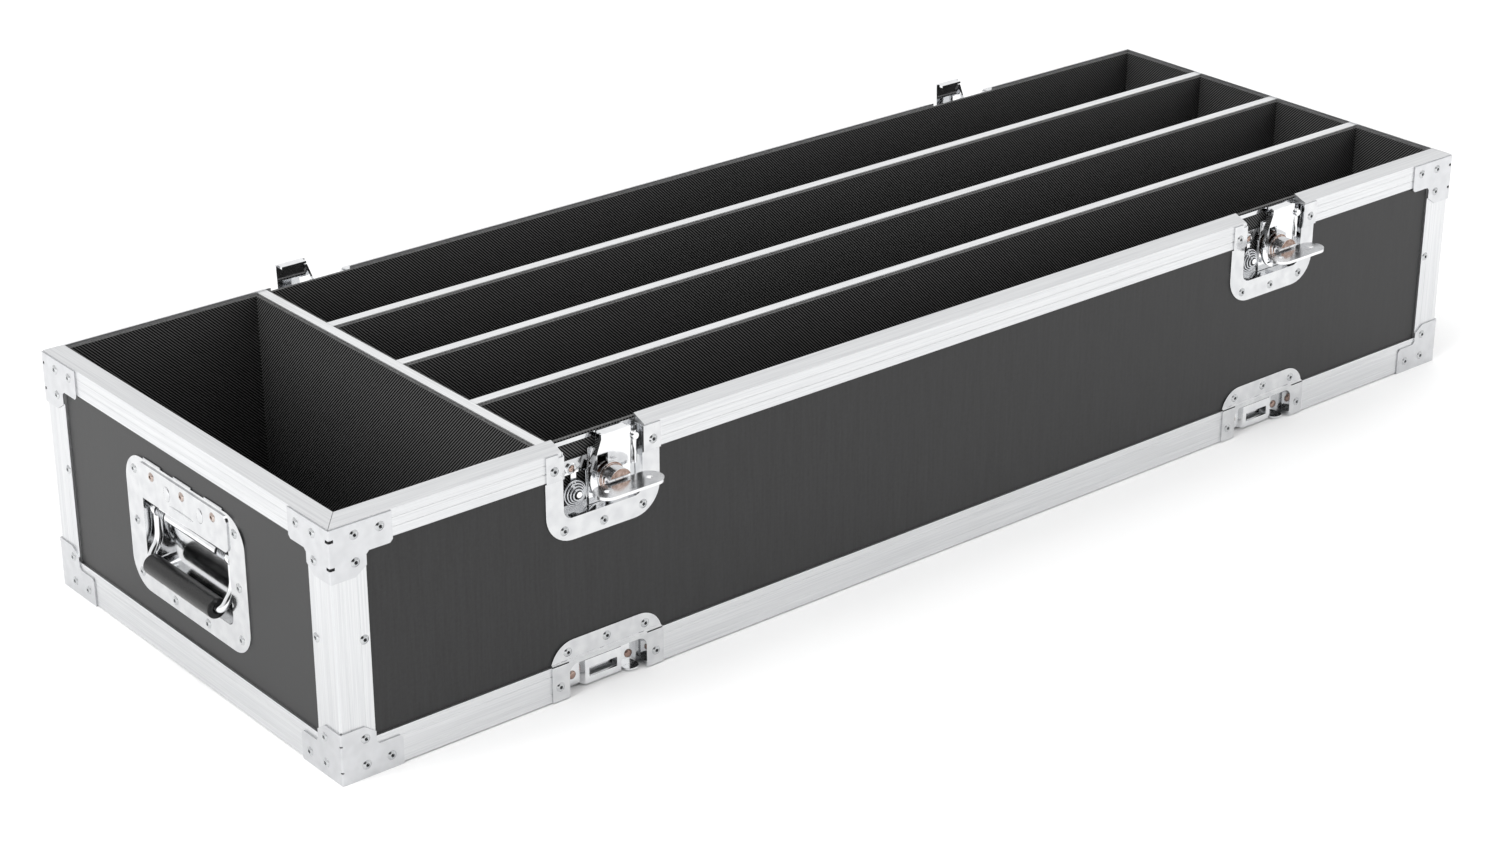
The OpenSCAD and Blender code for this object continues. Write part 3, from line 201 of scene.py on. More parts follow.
# %% Laminated plywood
VENEER_MM = 2.2
laminate, tree, shader = begin("phenolic_film_on_plywood", IOR=1.5, Specular_IOR_Level=0.42)
place = add(tree, "ShaderNodeTexCoord")
streak_map = add(tree, "ShaderNodeMapping", {"Vector": place.outputs["Object"], "Scale": (1, 1, 0.06)})
streaks = add(tree, "ShaderNodeTexNoise", {"Vector": streak_map.outputs["Vector"],
    "Scale": 1 / (VENEER_MM * MM), "Detail": 3.0, "Roughness": 0.6})
spots = add(tree, "ShaderNodeTexNoise", {"Vector": place.outputs["Object"],
    "Scale": 1 / (1.5 * VENEER_MM * MM), "Detail": 4.0, "Roughness": 0.7})
both = add(tree, "ShaderNodeMath", {0: streaks.outputs["Fac"], 1: spots.outputs["Fac"]}, operation="ADD")
half = add(tree, "ShaderNodeMath", {0: both.outputs["Value"], 1: 0.5}, operation="MULTIPLY")
film = add(tree, "ShaderNodeValToRGB", {"Fac": half.outputs["Value"]})
film.color_ramp.elements[0].position = 0.3
film.color_ramp.elements[0].color = tone("#0e0e0e")
film.color_ramp.elements[1].position = 0.7
film.color_ramp.elements[1].color = tone("#262627")
tree.links.new(film.outputs["Color"], shader.inputs["Base Color"])
satin = add(tree, "ShaderNodeMapRange", {"Value": half.outputs["Value"], "From Min": 0.3, "From Max": 0.7,
    "To Min": 0.34, "To Max": 0.46})
tree.links.new(satin.outputs["Result"], shader.inputs["Roughness"])
relief = add(tree, "ShaderNodeBump", {"Height": spots.outputs["Fac"], "Strength": 0.15, "Distance": 0.2 * MM})
tree.links.new(relief.outputs["Normal"], shader.inputs["Normal"])
print("made", laminate.name)

# %% [markdown]
# ## Drawn aluminium sections
# The edging is aluminium pressed through a die, which leaves fine bright lines along its length. A noise that
# is stretched a hundred times along the section and is fine across it gives those lines, in the colour, in
# the roughness and as a shallow relief. A section can run along X, Y or Z, so the same finish is made three
# times, each with its pattern stretched along its own axis. The real lines are finer than a pixel, so they
# are drawn about a millimetre apart.

# %% Drawn aluminium, along each axis
DIE_LINE_MM = 1.1


def drawn_aluminium(axis):
    """Aluminium with its die lines along one axis: 0 for X, 1 for Y, 2 for Z."""
    material, tree, shader = begin("drawn_aluminium_" + "xyz"[axis], Metallic=1.0)
    place = add(tree, "ShaderNodeTexCoord")
    scale = [1.0, 1.0, 1.0]
    scale[axis] = 0.01
    lines_map = add(tree, "ShaderNodeMapping", {"Vector": place.outputs["Object"], "Scale": scale})
    lines = add(tree, "ShaderNodeTexNoise", {"Vector": lines_map.outputs["Vector"],
        "Scale": 1 / (DIE_LINE_MM * MM), "Detail": 3.0, "Roughness": 0.65})
    colour = add(tree, "ShaderNodeValToRGB", {"Fac": lines.outputs["Fac"]})
    colour.color_ramp.elements[0].position = 0.3
    colour.color_ramp.elements[0].color = tone("#cdced0")
    colour.color_ramp.elements[1].position = 0.62
    colour.color_ramp.elements[1].color = tone("#dedfe0")
    tree.links.new(colour.outputs["Color"], shader.inputs["Base Color"])
    rough = add(tree, "ShaderNodeMapRange", {"Value": lines.outputs["Fac"], "From Min": 0.3, "From Max": 0.7,
        "To Min": 0.32, "To Max": 0.4})
    tree.links.new(rough.outputs["Result"], shader.inputs["Roughness"])
    relief = add(tree, "ShaderNodeBump", {"Height": lines.outputs["Fac"], "Strength": 0.3,
        "Distance": 0.06 * MM})
    tree.links.new(relief.outputs["Normal"], shader.inputs["Normal"])
    return material


aluminium = [drawn_aluminium(axis) for axis in range(3)]
print("made", [material.name for material in aluminium])

# %% [markdown]
# ## Plated steel
# Brackets, dishes and latch plates are pressed from steel sheet and plated with zinc or nickel. Plating is
# smooth but never quite even: it has cloudy patches a few millimetres wide and a fine tooth from the sheet's
# rolling. One function makes each plated finish from its colour and its roughness. The noise changes the
# roughness much more than the colour, because that is what the eye reads as plating.

# %% Plated steel
CLOUD_MM = 9
TOOTH_MM = 0.7


def plated(name, dark, light, smooth, rough, tooth=0.1):
    """Plating between two colours and two roughnesses, with a tooth of a given strength."""
    material, tree, shader = begin(name, Metallic=1.0)
    place = add(tree, "ShaderNodeTexCoord")
    clouds = add(tree, "ShaderNodeTexNoise", {"Vector": place.outputs["Object"],
        "Scale": 1 / (CLOUD_MM * MM), "Detail": 1.0, "Roughness": 0.4})
    fine = add(tree, "ShaderNodeTexNoise", {"Vector": place.outputs["Object"],
        "Scale": 1 / (TOOTH_MM * MM), "Detail": 2.0})
    colour = add(tree, "ShaderNodeValToRGB", {"Fac": clouds.outputs["Fac"]})
    colour.color_ramp.elements[0].position = 0.3
    colour.color_ramp.elements[0].color = tone(dark)
    colour.color_ramp.elements[1].position = 0.7
    colour.color_ramp.elements[1].color = tone(light)
    tree.links.new(colour.outputs["Color"], shader.inputs["Base Color"])
    mixed = add(tree, "ShaderNodeMath", {0: clouds.outputs["Fac"], 1: fine.outputs["Fac"]},
        operation="MULTIPLY")
    gloss = add(tree, "ShaderNodeMapRange", {"Value": mixed.outputs["Value"], "From Min": 0.15,
        "From Max": 0.4, "To Min": smooth, "To Max": rough})
    tree.links.new(gloss.outputs["Result"], shader.inputs["Roughness"])
    relief = add(tree, "ShaderNodeBump", {"Height": fine.outputs["Fac"], "Strength": tooth,
        "Distance": 0.05 * MM})
    tree.links.new(relief.outputs["Normal"], shader.inputs["Normal"])
    return material


# Zinc on pressed sheet is satin, and nickel on sheet and castings is nearly a mirror
bracket_steel = plated("zinc_plated_bracket_steel", "#c8c9cb", "#d2d3d5", 0.28, 0.4, 0.2)
dish_steel = plated("nickel_plated_dish_steel", "#cbccce", "#d8d9da", 0.08, 0.14, 0.08)
latch_steel = plated("bright_nickel_latch_steel", "#e4e5e7", "#f0f1f2", 0.06, 0.14, 0.05)
wing_metal = plated("plated_zinc_casting", "#e2e3e4", "#f0f0f1", 0.16, 0.26, 0.08)
rivet_steel = plated("nickel_plated_rivet", "#b6b8ba", "#c8cacb", 0.08, 0.16)
bail_steel = plated("chromed_bail_rod", "#e2e3e5", "#eeeff0", 0.05, 0.1, 0.04)
# Pins and broken mandrels are bare steel, grey and dull, and spring wire is drawn bright. The mandrels are
# given a near black finish, which paints the shade in the rivet holes and in the bracket slots
pin_steel = plated("plain_pin_steel", "#7d7f82", "#8f9194", 0.24, 0.36)
painted_shade_steel = plated("mandrel_steel_painted_shade", "#2a2a2b", "#3a3a3b", 0.4, 0.6)
spring_steel = plated("drawn_spring_wire", "#b5b7ba", "#cfd1d4", 0.16, 0.26)
# Where rivets are washed with copper, the colour is a greyed brown
copper_washed = plated("copper_washed_rivet", "#937a70", "#b8a398", 0.14, 0.26)
faint_copper = plated("faintly_coppered_rivet", "#a8978f", "#c4b8b1", 0.1, 0.2)
print("made the plated finishes from", bracket_steel.name, "to", faint_copper.name)

# %% [markdown]
# ## Spindle
# The latch's spindle is cast zinc. Its sides are bright nickel, and its flat front face is painted a coppery
# tone, the pinkish reflection on that face painted into its colour. The face's own direction, taken before
# the
# part turns, tells the two apart: a face that looks outward is the front one.

# %% Spindle finish
MOTTLE_MM = 3
spindle_metal, tree, shader = begin("nickel_spindle_painted_reflection", Metallic=1.0)
place = add(tree, "ShaderNodeTexCoord")
mottle = add(tree, "ShaderNodeTexNoise", {"Vector": place.outputs["Object"],
    "Scale": 1 / (MOTTLE_MM * MM), "Detail": 2.0})
facing = add(tree, "ShaderNodeSeparateXYZ", {"Vector": place.outputs["Normal"]})
outward = add(tree, "ShaderNodeMath", {0: facing.outputs["Y"]}, operation="ABSOLUTE")
front = add(tree, "ShaderNodeMapRange", {"Value": outward.outputs["Value"],
    "From Min": 0.9, "From Max": 0.98})
nickel = add(tree, "ShaderNodeValToRGB", {"Fac": mottle.outputs["Fac"]})
nickel.color_ramp.elements[0].color = tone("#d6d6d7")
nickel.color_ramp.elements[1].color = tone("#ececed")
# The coppery tone of the front face is a painted reflection
copper = add(tree, "ShaderNodeValToRGB", {"Fac": mottle.outputs["Fac"]})
copper.color_ramp.elements[0].position = 0.3
copper.color_ramp.elements[0].color = tone("#947a6e")
copper.color_ramp.elements[1].position = 0.7
copper.color_ramp.elements[1].color = tone("#cbb4a8")
front_painted_reflection = add(tree, "ShaderNodeMix", {0: front.outputs["Result"], 6: nickel.outputs["Color"],
    7: copper.outputs["Color"]}, data_type="RGBA")
tree.links.new(front_painted_reflection.outputs[2], shader.inputs["Base Color"])
rough = add(tree, "ShaderNodeMapRange", {"Value": mottle.outputs["Fac"], "To Min": 0.1, "To Max": 0.3})
tree.links.new(rough.outputs["Result"], shader.inputs["Roughness"])
print("made", spindle_metal.name)

# %% [markdown]
# ## Ribbed foam lining
# The lining is a thin sheet of black foam with fine ribs pressed into its face. The ribs lie on the slant and
# are 2 mm apart, and their tops catch a little light. A wave texture along the sum of X, Y and Z runs on the
# slant over every wall without a seam, so one material serves them all. Where the sheet is cut, along its top
# edge, the foam is open and grey instead, which a mask on the face's own direction picks out.

# %% Ribbed foam
RIB_PITCH_MM = 2.0
FUZZ_MM = 0.8


def ribbed_foam(name, has_cut_edge):
    """Ribbed foam, with or without the open grey foam of a cut top edge."""
    material, tree, shader = begin(name, IOR=1.45, Specular_IOR_Level=0.2)
    place = add(tree, "ShaderNodeTexCoord")
    # The wave repeats every 2 pi / 10 of the sum of the coordinates, and on a wall that sum grows with the
    # root of two per metre across the ribs, which sets the pitch
    ribs = add(tree, "ShaderNodeTexWave", {"Vector": place.outputs["Object"],
        "Scale": 2 * math.pi / 10 / (math.sqrt(2) * RIB_PITCH_MM * MM), "Distortion": 0.0, "Detail": 0.0},
        wave_type="BANDS", bands_direction="DIAGONAL", wave_profile="SIN")
    fuzz = add(tree, "ShaderNodeTexNoise", {"Vector": place.outputs["Object"], "Scale": 1 / (FUZZ_MM * MM),
        "Detail": 3.0})
    colour = add(tree, "ShaderNodeValToRGB", {"Fac": ribs.outputs["Fac"]})
    colour.color_ramp.elements[0].position = 0.45
    colour.color_ramp.elements[0].color = tone("#0c0c0c")
    colour.color_ramp.elements[1].position = 1.0
    colour.color_ramp.elements[1].color = tone("#686868")
    result = colour.outputs["Color"]
    if has_cut_edge:
        facing = add(tree, "ShaderNodeNewGeometry")
        up = add(tree, "ShaderNodeSeparateXYZ", {"Vector": facing.outputs["Normal"]})
        is_cut = add(tree, "ShaderNodeMath", {0: up.outputs["Z"], 1: 0.7}, operation="GREATER_THAN")
        cut = add(tree, "ShaderNodeValToRGB", {"Fac": fuzz.outputs["Fac"]})
        cut.color_ramp.elements[0].position = 0.35
        cut.color_ramp.elements[0].color = tone("#3c3c3c")
        cut.color_ramp.elements[1].position = 0.65
        cut.color_ramp.elements[1].color = tone("#6e6e6e")
        choice = add(tree, "ShaderNodeMix", {0: is_cut.outputs["Value"], 6: result,
            7: cut.outputs["Color"]}, data_type="RGBA")
        result = choice.outputs[2]
    tree.links.new(result, shader.inputs["Base Color"])
    rough = add(tree, "ShaderNodeMapRange", {"Value": fuzz.outputs["Fac"], "To Min": 0.62, "To Max": 0.85})
    tree.links.new(rough.outputs["Result"], shader.inputs["Roughness"])
    relief = add(tree, "ShaderNodeBump", {"Height": ribs.outputs["Fac"], "Strength": 0.6,
        "Distance": 0.4 * MM})
    tree.links.new(relief.outputs["Normal"], shader.inputs["Normal"])
    return material


wall_lining = ribbed_foam("ribbed_foam_with_cut_edge", True)
floor_foam = ribbed_foam("ribbed_foam", False)
print("made", wall_lining.name, "and", floor_foam.name)

# %% [markdown]
# ## Divider boards
# The divider boards are black painted fibreboard, seen only in thin gaps between lining and strip. Fibres
# under the paint give it a slight unevenness, so a noise of about a fibre bundle's width moves its colour.

# %% Painted board
FIBRE_MM = 1.6
board_finish, tree, shader = begin("painted_board", Roughness=0.7, IOR=1.5)
place = add(tree, "ShaderNodeTexCoord")
fibres = add(tree, "ShaderNodeTexNoise", {"Vector": place.outputs["Object"],
    "Scale": 1 / (FIBRE_MM * MM), "Detail": 4.0})
paint = add(tree, "ShaderNodeValToRGB", {"Fac": fibres.outputs["Fac"]})
paint.color_ramp.elements[0].color = tone("#1f1e1d")
paint.color_ramp.elements[1].color = tone("#383634")
tree.links.new(paint.outputs["Color"], shader.inputs["Base Color"])
print("made", board_finish.name)

# %% [markdown]
# ## Capping strips
# The capping strips are a satin light metal profile with a faint drawn grain, duller than the edging. The
# strip over the cross divider runs along Y and the others along X, so the grain is made for both directions,
# and the place along X chooses between them. The others start where the long dividers do.

# %% Satin strip
GRAIN_MM = 1.2
CROSS_STRIP_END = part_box("long_divider_front")[0].x
strip, tree, shader = begin("satin_strip", Metallic=0.85)
place = add(tree, "ShaderNodeTexCoord")
grains = []
for scale in ((0.02, 1, 1), (1, 0.02, 1)):
    grain_map = add(tree, "ShaderNodeMapping", {"Vector": place.outputs["Object"], "Scale": scale})
    grains.append(add(tree, "ShaderNodeTexNoise", {"Vector": grain_map.outputs["Vector"],
        "Scale": 1 / (GRAIN_MM * MM), "Detail": 3.0}))
along = add(tree, "ShaderNodeSeparateXYZ", {"Vector": place.outputs["Object"]})
is_cross = add(tree, "ShaderNodeMath", {0: along.outputs["X"], 1: CROSS_STRIP_END}, operation="LESS_THAN")
grain = add(tree, "ShaderNodeMix", {0: is_cross.outputs["Value"], 2: grains[0].outputs["Fac"],
    3: grains[1].outputs["Fac"]}, data_type="FLOAT")
colour = add(tree, "ShaderNodeValToRGB", {"Fac": grain.outputs[0]})
colour.color_ramp.elements[0].position = 0.3
colour.color_ramp.elements[0].color = tone("#d9dadb")
colour.color_ramp.elements[1].position = 0.7
colour.color_ramp.elements[1].color = tone("#eaebec")
tree.links.new(colour.outputs["Color"], shader.inputs["Base Color"])
rough = add(tree, "ShaderNodeMapRange", {"Value": grain.outputs[0], "To Min": 0.38, "To Max": 0.55})
tree.links.new(rough.outputs["Result"], shader.inputs["Roughness"])
print("made", strip.name)

# %% [markdown]
# ## Rubber
# The grip is rubber moulded onto the bail. It is nearly black and smooth enough for a soft, long highlight,
# and the mould leaves a fine pitting that breaks the highlight up a little.

# %% Moulded rubber
PORE_MM = 0.9
rubber, tree, shader = begin("moulded_rubber", IOR=1.52, Specular_IOR_Level=0.42)
place = add(tree, "ShaderNodeTexCoord")
pores = add(tree, "ShaderNodeTexNoise", {"Vector": place.outputs["Object"],
    "Scale": 1 / (PORE_MM * MM), "Detail": 3.0})
colour = add(tree, "ShaderNodeValToRGB", {"Fac": pores.outputs["Fac"]})
colour.color_ramp.elements[0].color = tone("#0c0c0c")
colour.color_ramp.elements[1].color = tone("#19191a")
tree.links.new(colour.outputs["Color"], shader.inputs["Base Color"])
rough = add(tree, "ShaderNodeMapRange", {"Value": pores.outputs["Fac"], "To Min": 0.22, "To Max": 0.36})
tree.links.new(rough.outputs["Result"], shader.inputs["Roughness"])
relief = add(tree, "ShaderNodeBump", {"Height": pores.outputs["Fac"], "Strength": 0.12, "Distance": 0.1 * MM})
tree.links.new(relief.outputs["Normal"], shader.inputs["Normal"])
print("made", rubber.name)

# %% [markdown]
# ## Dress the CAD nodes
# Most pieces keep their CAD shape. Each gets its finish, and real sheet and section never has a razor edge,
# so a small bevel breaks every sharp edge and draws the thin bright line along it. A bevel needs clean
# faces, and the CAD mesh is cut into loose triangles, so a weld joins its points and a decimate that only
# dissolves flat faces removes the cuts first. All are modifiers, so the CAD mesh itself stays as it is.

# %% Which piece has which finish
LATCHES = ("front_left", "front_right", "rear_left", "rear_right")
finishes = {
    laminate: ["bottom_panel", "front_panel", "rear_panel", "left_panel", "right_panel"],
    aluminium[0]: ["rim_front", "rim_rear", "bottom_edging_long"],
    aluminium[1]: ["rim_left", "rim_right", "bottom_edging_short"],
    aluminium[2]: ["corner_posts"],
    bracket_steel: ["top_corner_brackets", "bottom_corner_brackets"],
    wall_lining: ["lining_front", "lining_rear", "lining_left", "lining_right", "divider_linings"],
    floor_foam: ["floor_lining"],
    board_finish: ["cross_divider", "long_divider_front", "long_divider_middle", "long_divider_rear"],
    strip: ["divider_caps"],
    dish_steel: ["latch_dishes", "keeper_dishes", "handle_dish_left", "handle_dish_right", "handle_covers"],
    latch_steel: ["latch_base_plates", "latch_spring_brackets", "bail_left", "bail_right"]
        + ["claw_" + name for name in LATCHES] + ["keeper_bracket_" + name for name in LATCHES],
    spindle_metal: ["spindle_" + name for name in LATCHES],
    wing_metal: ["wing_" + name for name in LATCHES],
    pin_steel: ["handle_rods"] + ["wing_pin_" + name for name in LATCHES],
    spring_steel: ["latch_springs", "handle_springs"],
    rivet_steel: ["rivets"],
    rubber: ["grip_left", "grip_right"],
}
print("finishes for", sum(len(names) for names in finishes.values()), "nodes")

# %% Softened edges
WELD_MM = 0.002
FLAT_WITHIN = math.radians(0.5)
SHARP_FROM = math.radians(40)
bevel_mm = {aluminium[0]: 0.4, aluminium[1]: 0.4, aluminium[2]: 0.4, bracket_steel: 0.3, dish_steel: 0.3,
    latch_steel: 0.35, spindle_metal: 0.3, wing_metal: 0.5, strip: 0.3, rubber: 0.8}
for material, names in finishes.items():
    for name in names:
        piece = nodes[name]
        piece.data.materials.clear()
        piece.data.materials.append(material)
        if material in bevel_mm:
            weld = piece.modifiers.new("weld", "WELD")
            weld.merge_threshold = WELD_MM * MM
            flat = piece.modifiers.new("one_face_per_plane", "DECIMATE")
            flat.decimate_type = "DISSOLVE"
            flat.angle_limit = FLAT_WITHIN
            bevel = piece.modifiers.new("bevel", "BEVEL")
            bevel.width = bevel_mm[material] * MM
            bevel.segments = 2
            bevel.limit_method = "ANGLE"
            bevel.angle_limit = SHARP_FROM
            evened = piece.modifiers.new("even_normals", "WEIGHTED_NORMAL")
            evened.keep_sharp = False
print("softened", sum(len(finishes[material]) for material in bevel_mm), "nodes")

# %% [markdown]
# ## Turned and swept shapes
# Rivets, nuts and wires are made on a lathe or drawn through a die, so they are modelled the same way: a
# profile turned about an axis, or a circle carried along a path. Both give a round shape at any distance,
# where the CAD model has only coarse facets.

# %% A piece from points and faces
def piece_of(name, points, faces, material, body, slot_name, sharp=35):
    """A piece from its points and faces, riding on a body."""
    mesh = bpy.data.meshes.new(name)
    mesh.from_pydata([tuple(point) for point in points], [], faces)
    shape = bmesh.new()
    shape.from_mesh(mesh)
    bmesh.ops.recalc_face_normals(shape, faces=shape.faces)
    shape.to_mesh(mesh)
    shape.free()
    mesh.shade_smooth()
    mesh.set_sharp_from_angle(angle=math.radians(sharp))
    mesh.materials.append(material)
    made = bpy.data.objects.new(name, mesh)
    bpy.context.scene.collection.objects.link(made)
    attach(made, body)
    return made


def join_shapes(shapes):
    """Several lists of points and faces as one."""
    points, faces = [], []
    for some_points, some_faces in shapes:
        start = len(points)
        points += some_points
        faces += [tuple(start + corner for corner in face) for face in some_faces]
    return points, faces


# %% Turned and swept skins
def rings(loops, closed=False):
    """A skin over loops of as many points each, with end caps, or closed from the last loop to the first."""
    count = len(loops[0])
    points = [point for loop in loops for point in loop]
    faces = []
    for i in range(len(loops) - (0 if closed else 1)):
        j = (i + 1) % len(loops)
        for k in range(count):
            n = (k + 1) % count
            faces.append((i * count + k, i * count + n, j * count + n, j * count + k))
    if not closed:
        faces.append(tuple(range(count)))
        faces.append(tuple(len(points) - count + k for k in range(count)))
    return points, faces


def turned_shape(profile, seat, out, segments=24, closed=False):
    """A profile of (radius, height) in mm, turned about the direction out from the point seat."""
    out = Vector(out).normalized()
    across = out.orthogonal().normalized()
    other = out.cross(across)
    sides = [across * math.cos(t) + other * math.sin(t)
        for t in [2 * math.pi * k / segments for k in range(segments)]]
    loops = [[seat + (out * height + side * radius) * MM for side in sides] for radius, height in profile]
    return rings(loops, closed=closed)


def swept_wire(path, radius_mm, sides=10):
    """A round wire along a path of points in metres."""
    loops = []
    side = None
    for i, point in enumerate(path):
        ahead = (path[min(i + 1, len(path) - 1)] - path[max(i - 1, 0)]).normalized()
        side = ahead.orthogonal() if side is None else side - ahead * side.dot(ahead)
        side = side.normalized()
        other = ahead.cross(side)
        turns = [2 * math.pi * k / sides for k in range(sides)]
        loops.append([point + (side * math.cos(t) + other * math.sin(t)) * radius_mm * MM for t in turns])
    return rings(loops)


drum = turned_shape([(1, 0), (1, 1)], Vector(), (0, 0, 1), segments=4)
print("a turned drum with four sides has", len(drum[1]), "faces")

# %% [markdown]
# ## Places on the case
# Every fitting is measured from its own side: across it, inward from its face, and up. Two small functions
# turn those three numbers, in mm, into a place on the whole case, one for the four latches and one for the
# two ends. The case's own sizes come from the boxes of CAD nodes, and the hinges' places from the joints, so
# what is added here stays in place when the CAD model changes.

# %% Places of latches and ends
# For each latch, the sign of its distance from the middle and the way that its side faces
LATCH_SIDE = {"front_left": (-1, 1), "front_right": (1, 1), "rear_left": (1, -1), "rear_right": (-1, -1)}
DISH_HALF = 54
HALF_LENGTH, HALF_WIDTH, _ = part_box("corner_posts")[1] / MM
LATCH_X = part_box("latch_dishes")[1].x / MM - DISH_HALF
pivots = {joint["name"]: Vector(joint["pos_m"]) / MM for joint in frame["joints"] if "pos_m" in joint}


def at_latch(name, across, inward, up):
    """A place at a latch, from its middle line, the case's face and the floor."""
    side, way = LATCH_SIDE[name]
    return Vector((way * (across + side * LATCH_X), way * (inward - HALF_WIDTH), up)) * MM


def at_end(end, across, inward, up):
    """A place at an end, from its middle line, its face and the floor."""
    way = 1 if end == "left" else -1
    return Vector((way * (inward - HALF_LENGTH), -way * across, up)) * MM


print("front left latch at", tuple(round(v, 4) for v in at_latch("front_left", 0, 0, 0)), "and",
    len(pivots), "pivots")

# %% [markdown]
# ## Rivets
# A blind rivet ends in a low dome with the hole that its mandrel was pulled through. The dome is bright and
# its rim catches the light, and the broken mandrel lies at the bottom of the hole in a near black finish,
# which paints the shade in the hole. Each solid of the CAD node is one rivet: its longest side is its axis,
# and the end that faces away from the case carries the head.
# So the places are read from the node, and each head is turned on a lathe's profile. The three on each
# handle's cover are faintly coppered instead of nickel.

# %% Where the rivets are
SAME_POINT_MM = 0.001


def separate_solids(node):
    """Lowest and highest corner of each separate solid of a CAD node."""
    shape = bmesh.new()
    shape.from_mesh(node.data)
    shape.transform(node.matrix_world)
    bmesh.ops.remove_doubles(shape, verts=shape.verts, dist=SAME_POINT_MM * MM)
    seen, corners = set(), []
    for start in shape.verts:
        if start in seen:
            continue
        seen.add(start)
        waiting, found = [start], []
        while waiting:
            vertex = waiting.pop()
            found.append(vertex.co.copy())
            for edge in vertex.link_edges:
                other = edge.other_vert(vertex)
                if other not in seen:
                    seen.add(other)
                    waiting.append(other)
        corners.append([Vector(limit(point[i] for point in found) for i in range(3)) for limit in (min, max)])
    shape.free()
    return corners


rivet_boxes = separate_solids(nodes["rivets"])
print(len(rivet_boxes), "rivets")

# %% Rivet heads and mandrels
HEAD_HEIGHT = 1.3
DOME = [(3.9, 0), (3.92, 0.12), (3.8, 0.26), (3.5, 0.4), (3.2, 0.62), (2.8, 0.88), (2.4, 1.1), (2.1, 1.23),
    (1.9, 1.29), (1.75, 1.3), (1.6, 1.24), (1.5, 1.1), (1.45, 0.2)]
STUB = [(1.42, 0.12), (1.2, 0.22), (0.8, 0.3), (0.4, 0.34), (0.1, 0.35)]
# The row on a handle's cover: near the middle of an end, and above this height
ROW_HALF_LENGTH = 50 * MM
ROW_ABOVE = 150 * MM
domes, copper_domes, stubs = [], [], []
for low, high in rivet_boxes:
    middle, size = (low + high) / 2, high - low
    axis = max(range(3), key=lambda i: size[i])
    out = Vector((0, 0, 0))
    out[axis] = math.copysign(1, middle[axis])
    seat = middle + out * (size[axis] / 2 - HEAD_HEIGHT * MM)
    in_row = axis == 0 and abs(middle.y) < ROW_HALF_LENGTH and middle.z > ROW_ABOVE
    (copper_domes if in_row else domes).append(turned_shape(DOME, seat, out))
    stubs.append(turned_shape(STUB, seat, out, segments=12))
rivet_heads = piece_of("rivet_heads", *join_shapes(domes), rivet_steel, "case", "rivet_steel", sharp=60)
piece_of("copper_rivet_heads", *join_shapes(copper_domes), faint_copper, "case", "rivet_steel", sharp=60)
# The mandrel ends are near black, which paints the shade in the rivet holes
piece_of("rivet_mandrels_painted_shade", *join_shapes(stubs), painted_shade_steel, "case", "pin_steel")
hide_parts("rivets")
print(len(domes), "nickel and", len(copper_domes), "copper rivets")

# %% [markdown]
# ## Springs
# A latch spring is a cone of wire round its stud, and a handle spring is a short cylinder round the hinge
# rod. Both were wound from round wire, so a circle is carried along the same helix as in the CAD model, with
# a straight lead at each end. The stud stands a little below the spindle.

# %% Coil springs
WIRE = 0.8
STUD_X = -21
STUD_Z = pivots["spindle_turn_front_left"].z - 7.5
SPRING_BACK = 9.3
ROD_DEPTH = HALF_LENGTH + pivots["handle_swing_left"].x
ROD_Z = pivots["handle_swing_left"].z
SPRING_START = 39.5


def helix(turns, first, last, rise, lead_in, lead_out, steps=32):
    """Points along a helix about Z that starts at one radius and ends at another, in mm."""
    count = turns * steps
    curve = [(first, -lead_in, 0)]
    for i in range(count + 1):
        share, angle = i / count, 2 * math.pi * i / steps
        radius = first + (last - first) * share
        curve.append((radius * math.cos(angle), radius * math.sin(angle), rise * share))
    x, y, z = curve[-1]
    return curve + [(x, y + lead_out, z)]


cone = helix(turns=4, first=11, last=3.6, rise=5.5, lead_in=15.2, lead_out=2 * WIRE)
cylinder = helix(turns=5, first=3.6, last=3.6, rise=11.5, lead_in=2 * WIRE, lead_out=2 * WIRE)
cones, curls = [], []
for name in LATCHES:
    path = [at_latch(name, STUD_X + x, SPRING_BACK - z, STUD_Z - y) for x, y, z in cone]
    cones.append(swept_wire(path, WIRE))
for end in ("left", "right"):
    for way in (-1, 1):
        path = [at_end(end, way * (SPRING_START + z), ROD_DEPTH + y, ROD_Z - x) for x, y, z in cylinder]
        curls.append(swept_wire(path, WIRE))
latch_coils = piece_of("latch_coils", *join_shapes(cones), spring_steel, "case", "spring_steel", sharp=80)
handle_coils = piece_of("handle_coils", *join_shapes(curls), spring_steel, "case", "spring_steel", sharp=80)
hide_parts("latch_springs")
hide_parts("handle_springs")
print(len(cones), "cones and", len(curls), "cylinders of wire")

# %% [markdown]
# ## Bails
# A bail is one steel rod, bent cold into a flat U. Each arm hangs from an eye on the hinge rod, runs straight
# down, then curls outward and in to the grip, which leans away from the case. A bend in cold steel is a
# smooth curve, so each corner of the path is rounded before the rod is carried along it. It rides on the
# handle's own body, so it swings.

# %% Bails
ROD_RADIUS = 3.5
ARM_X = 55.5
BAIL_LENGTH = 43
LEAN = math.radians(16)
GRIP_DEPTH = ROD_DEPTH - BAIL_LENGTH * math.sin(LEAN)
GRIP_Z = ROD_Z - BAIL_LENGTH * math.cos(LEAN)
# An arm starts EYE_GAP below the hinge rod and runs straight to CURL_START above the grip. Its next corner is
# CURL_LOW above the grip and CURL_DEPTH inward from the case's face, and the rod enters the grip GRIP_IN
# nearer the middle
EYE_GAP = 3.2
CURL_START = 16
CURL_LOW = 3.5
CURL_DEPTH = -0.6
GRIP_IN = 5
BEND_REACH = 9
# A bend takes up less than half of the straight on either side, so two bends never meet
BEND_SHARE = 0.48
# The eye's section, as (distance from the hinge rod, along it): a ring with softened outer edges
EYE = [(2.7, -3), (4.7, -3), (5, -2.6), (5, 2.6), (4.7, 3), (2.7, 3)]


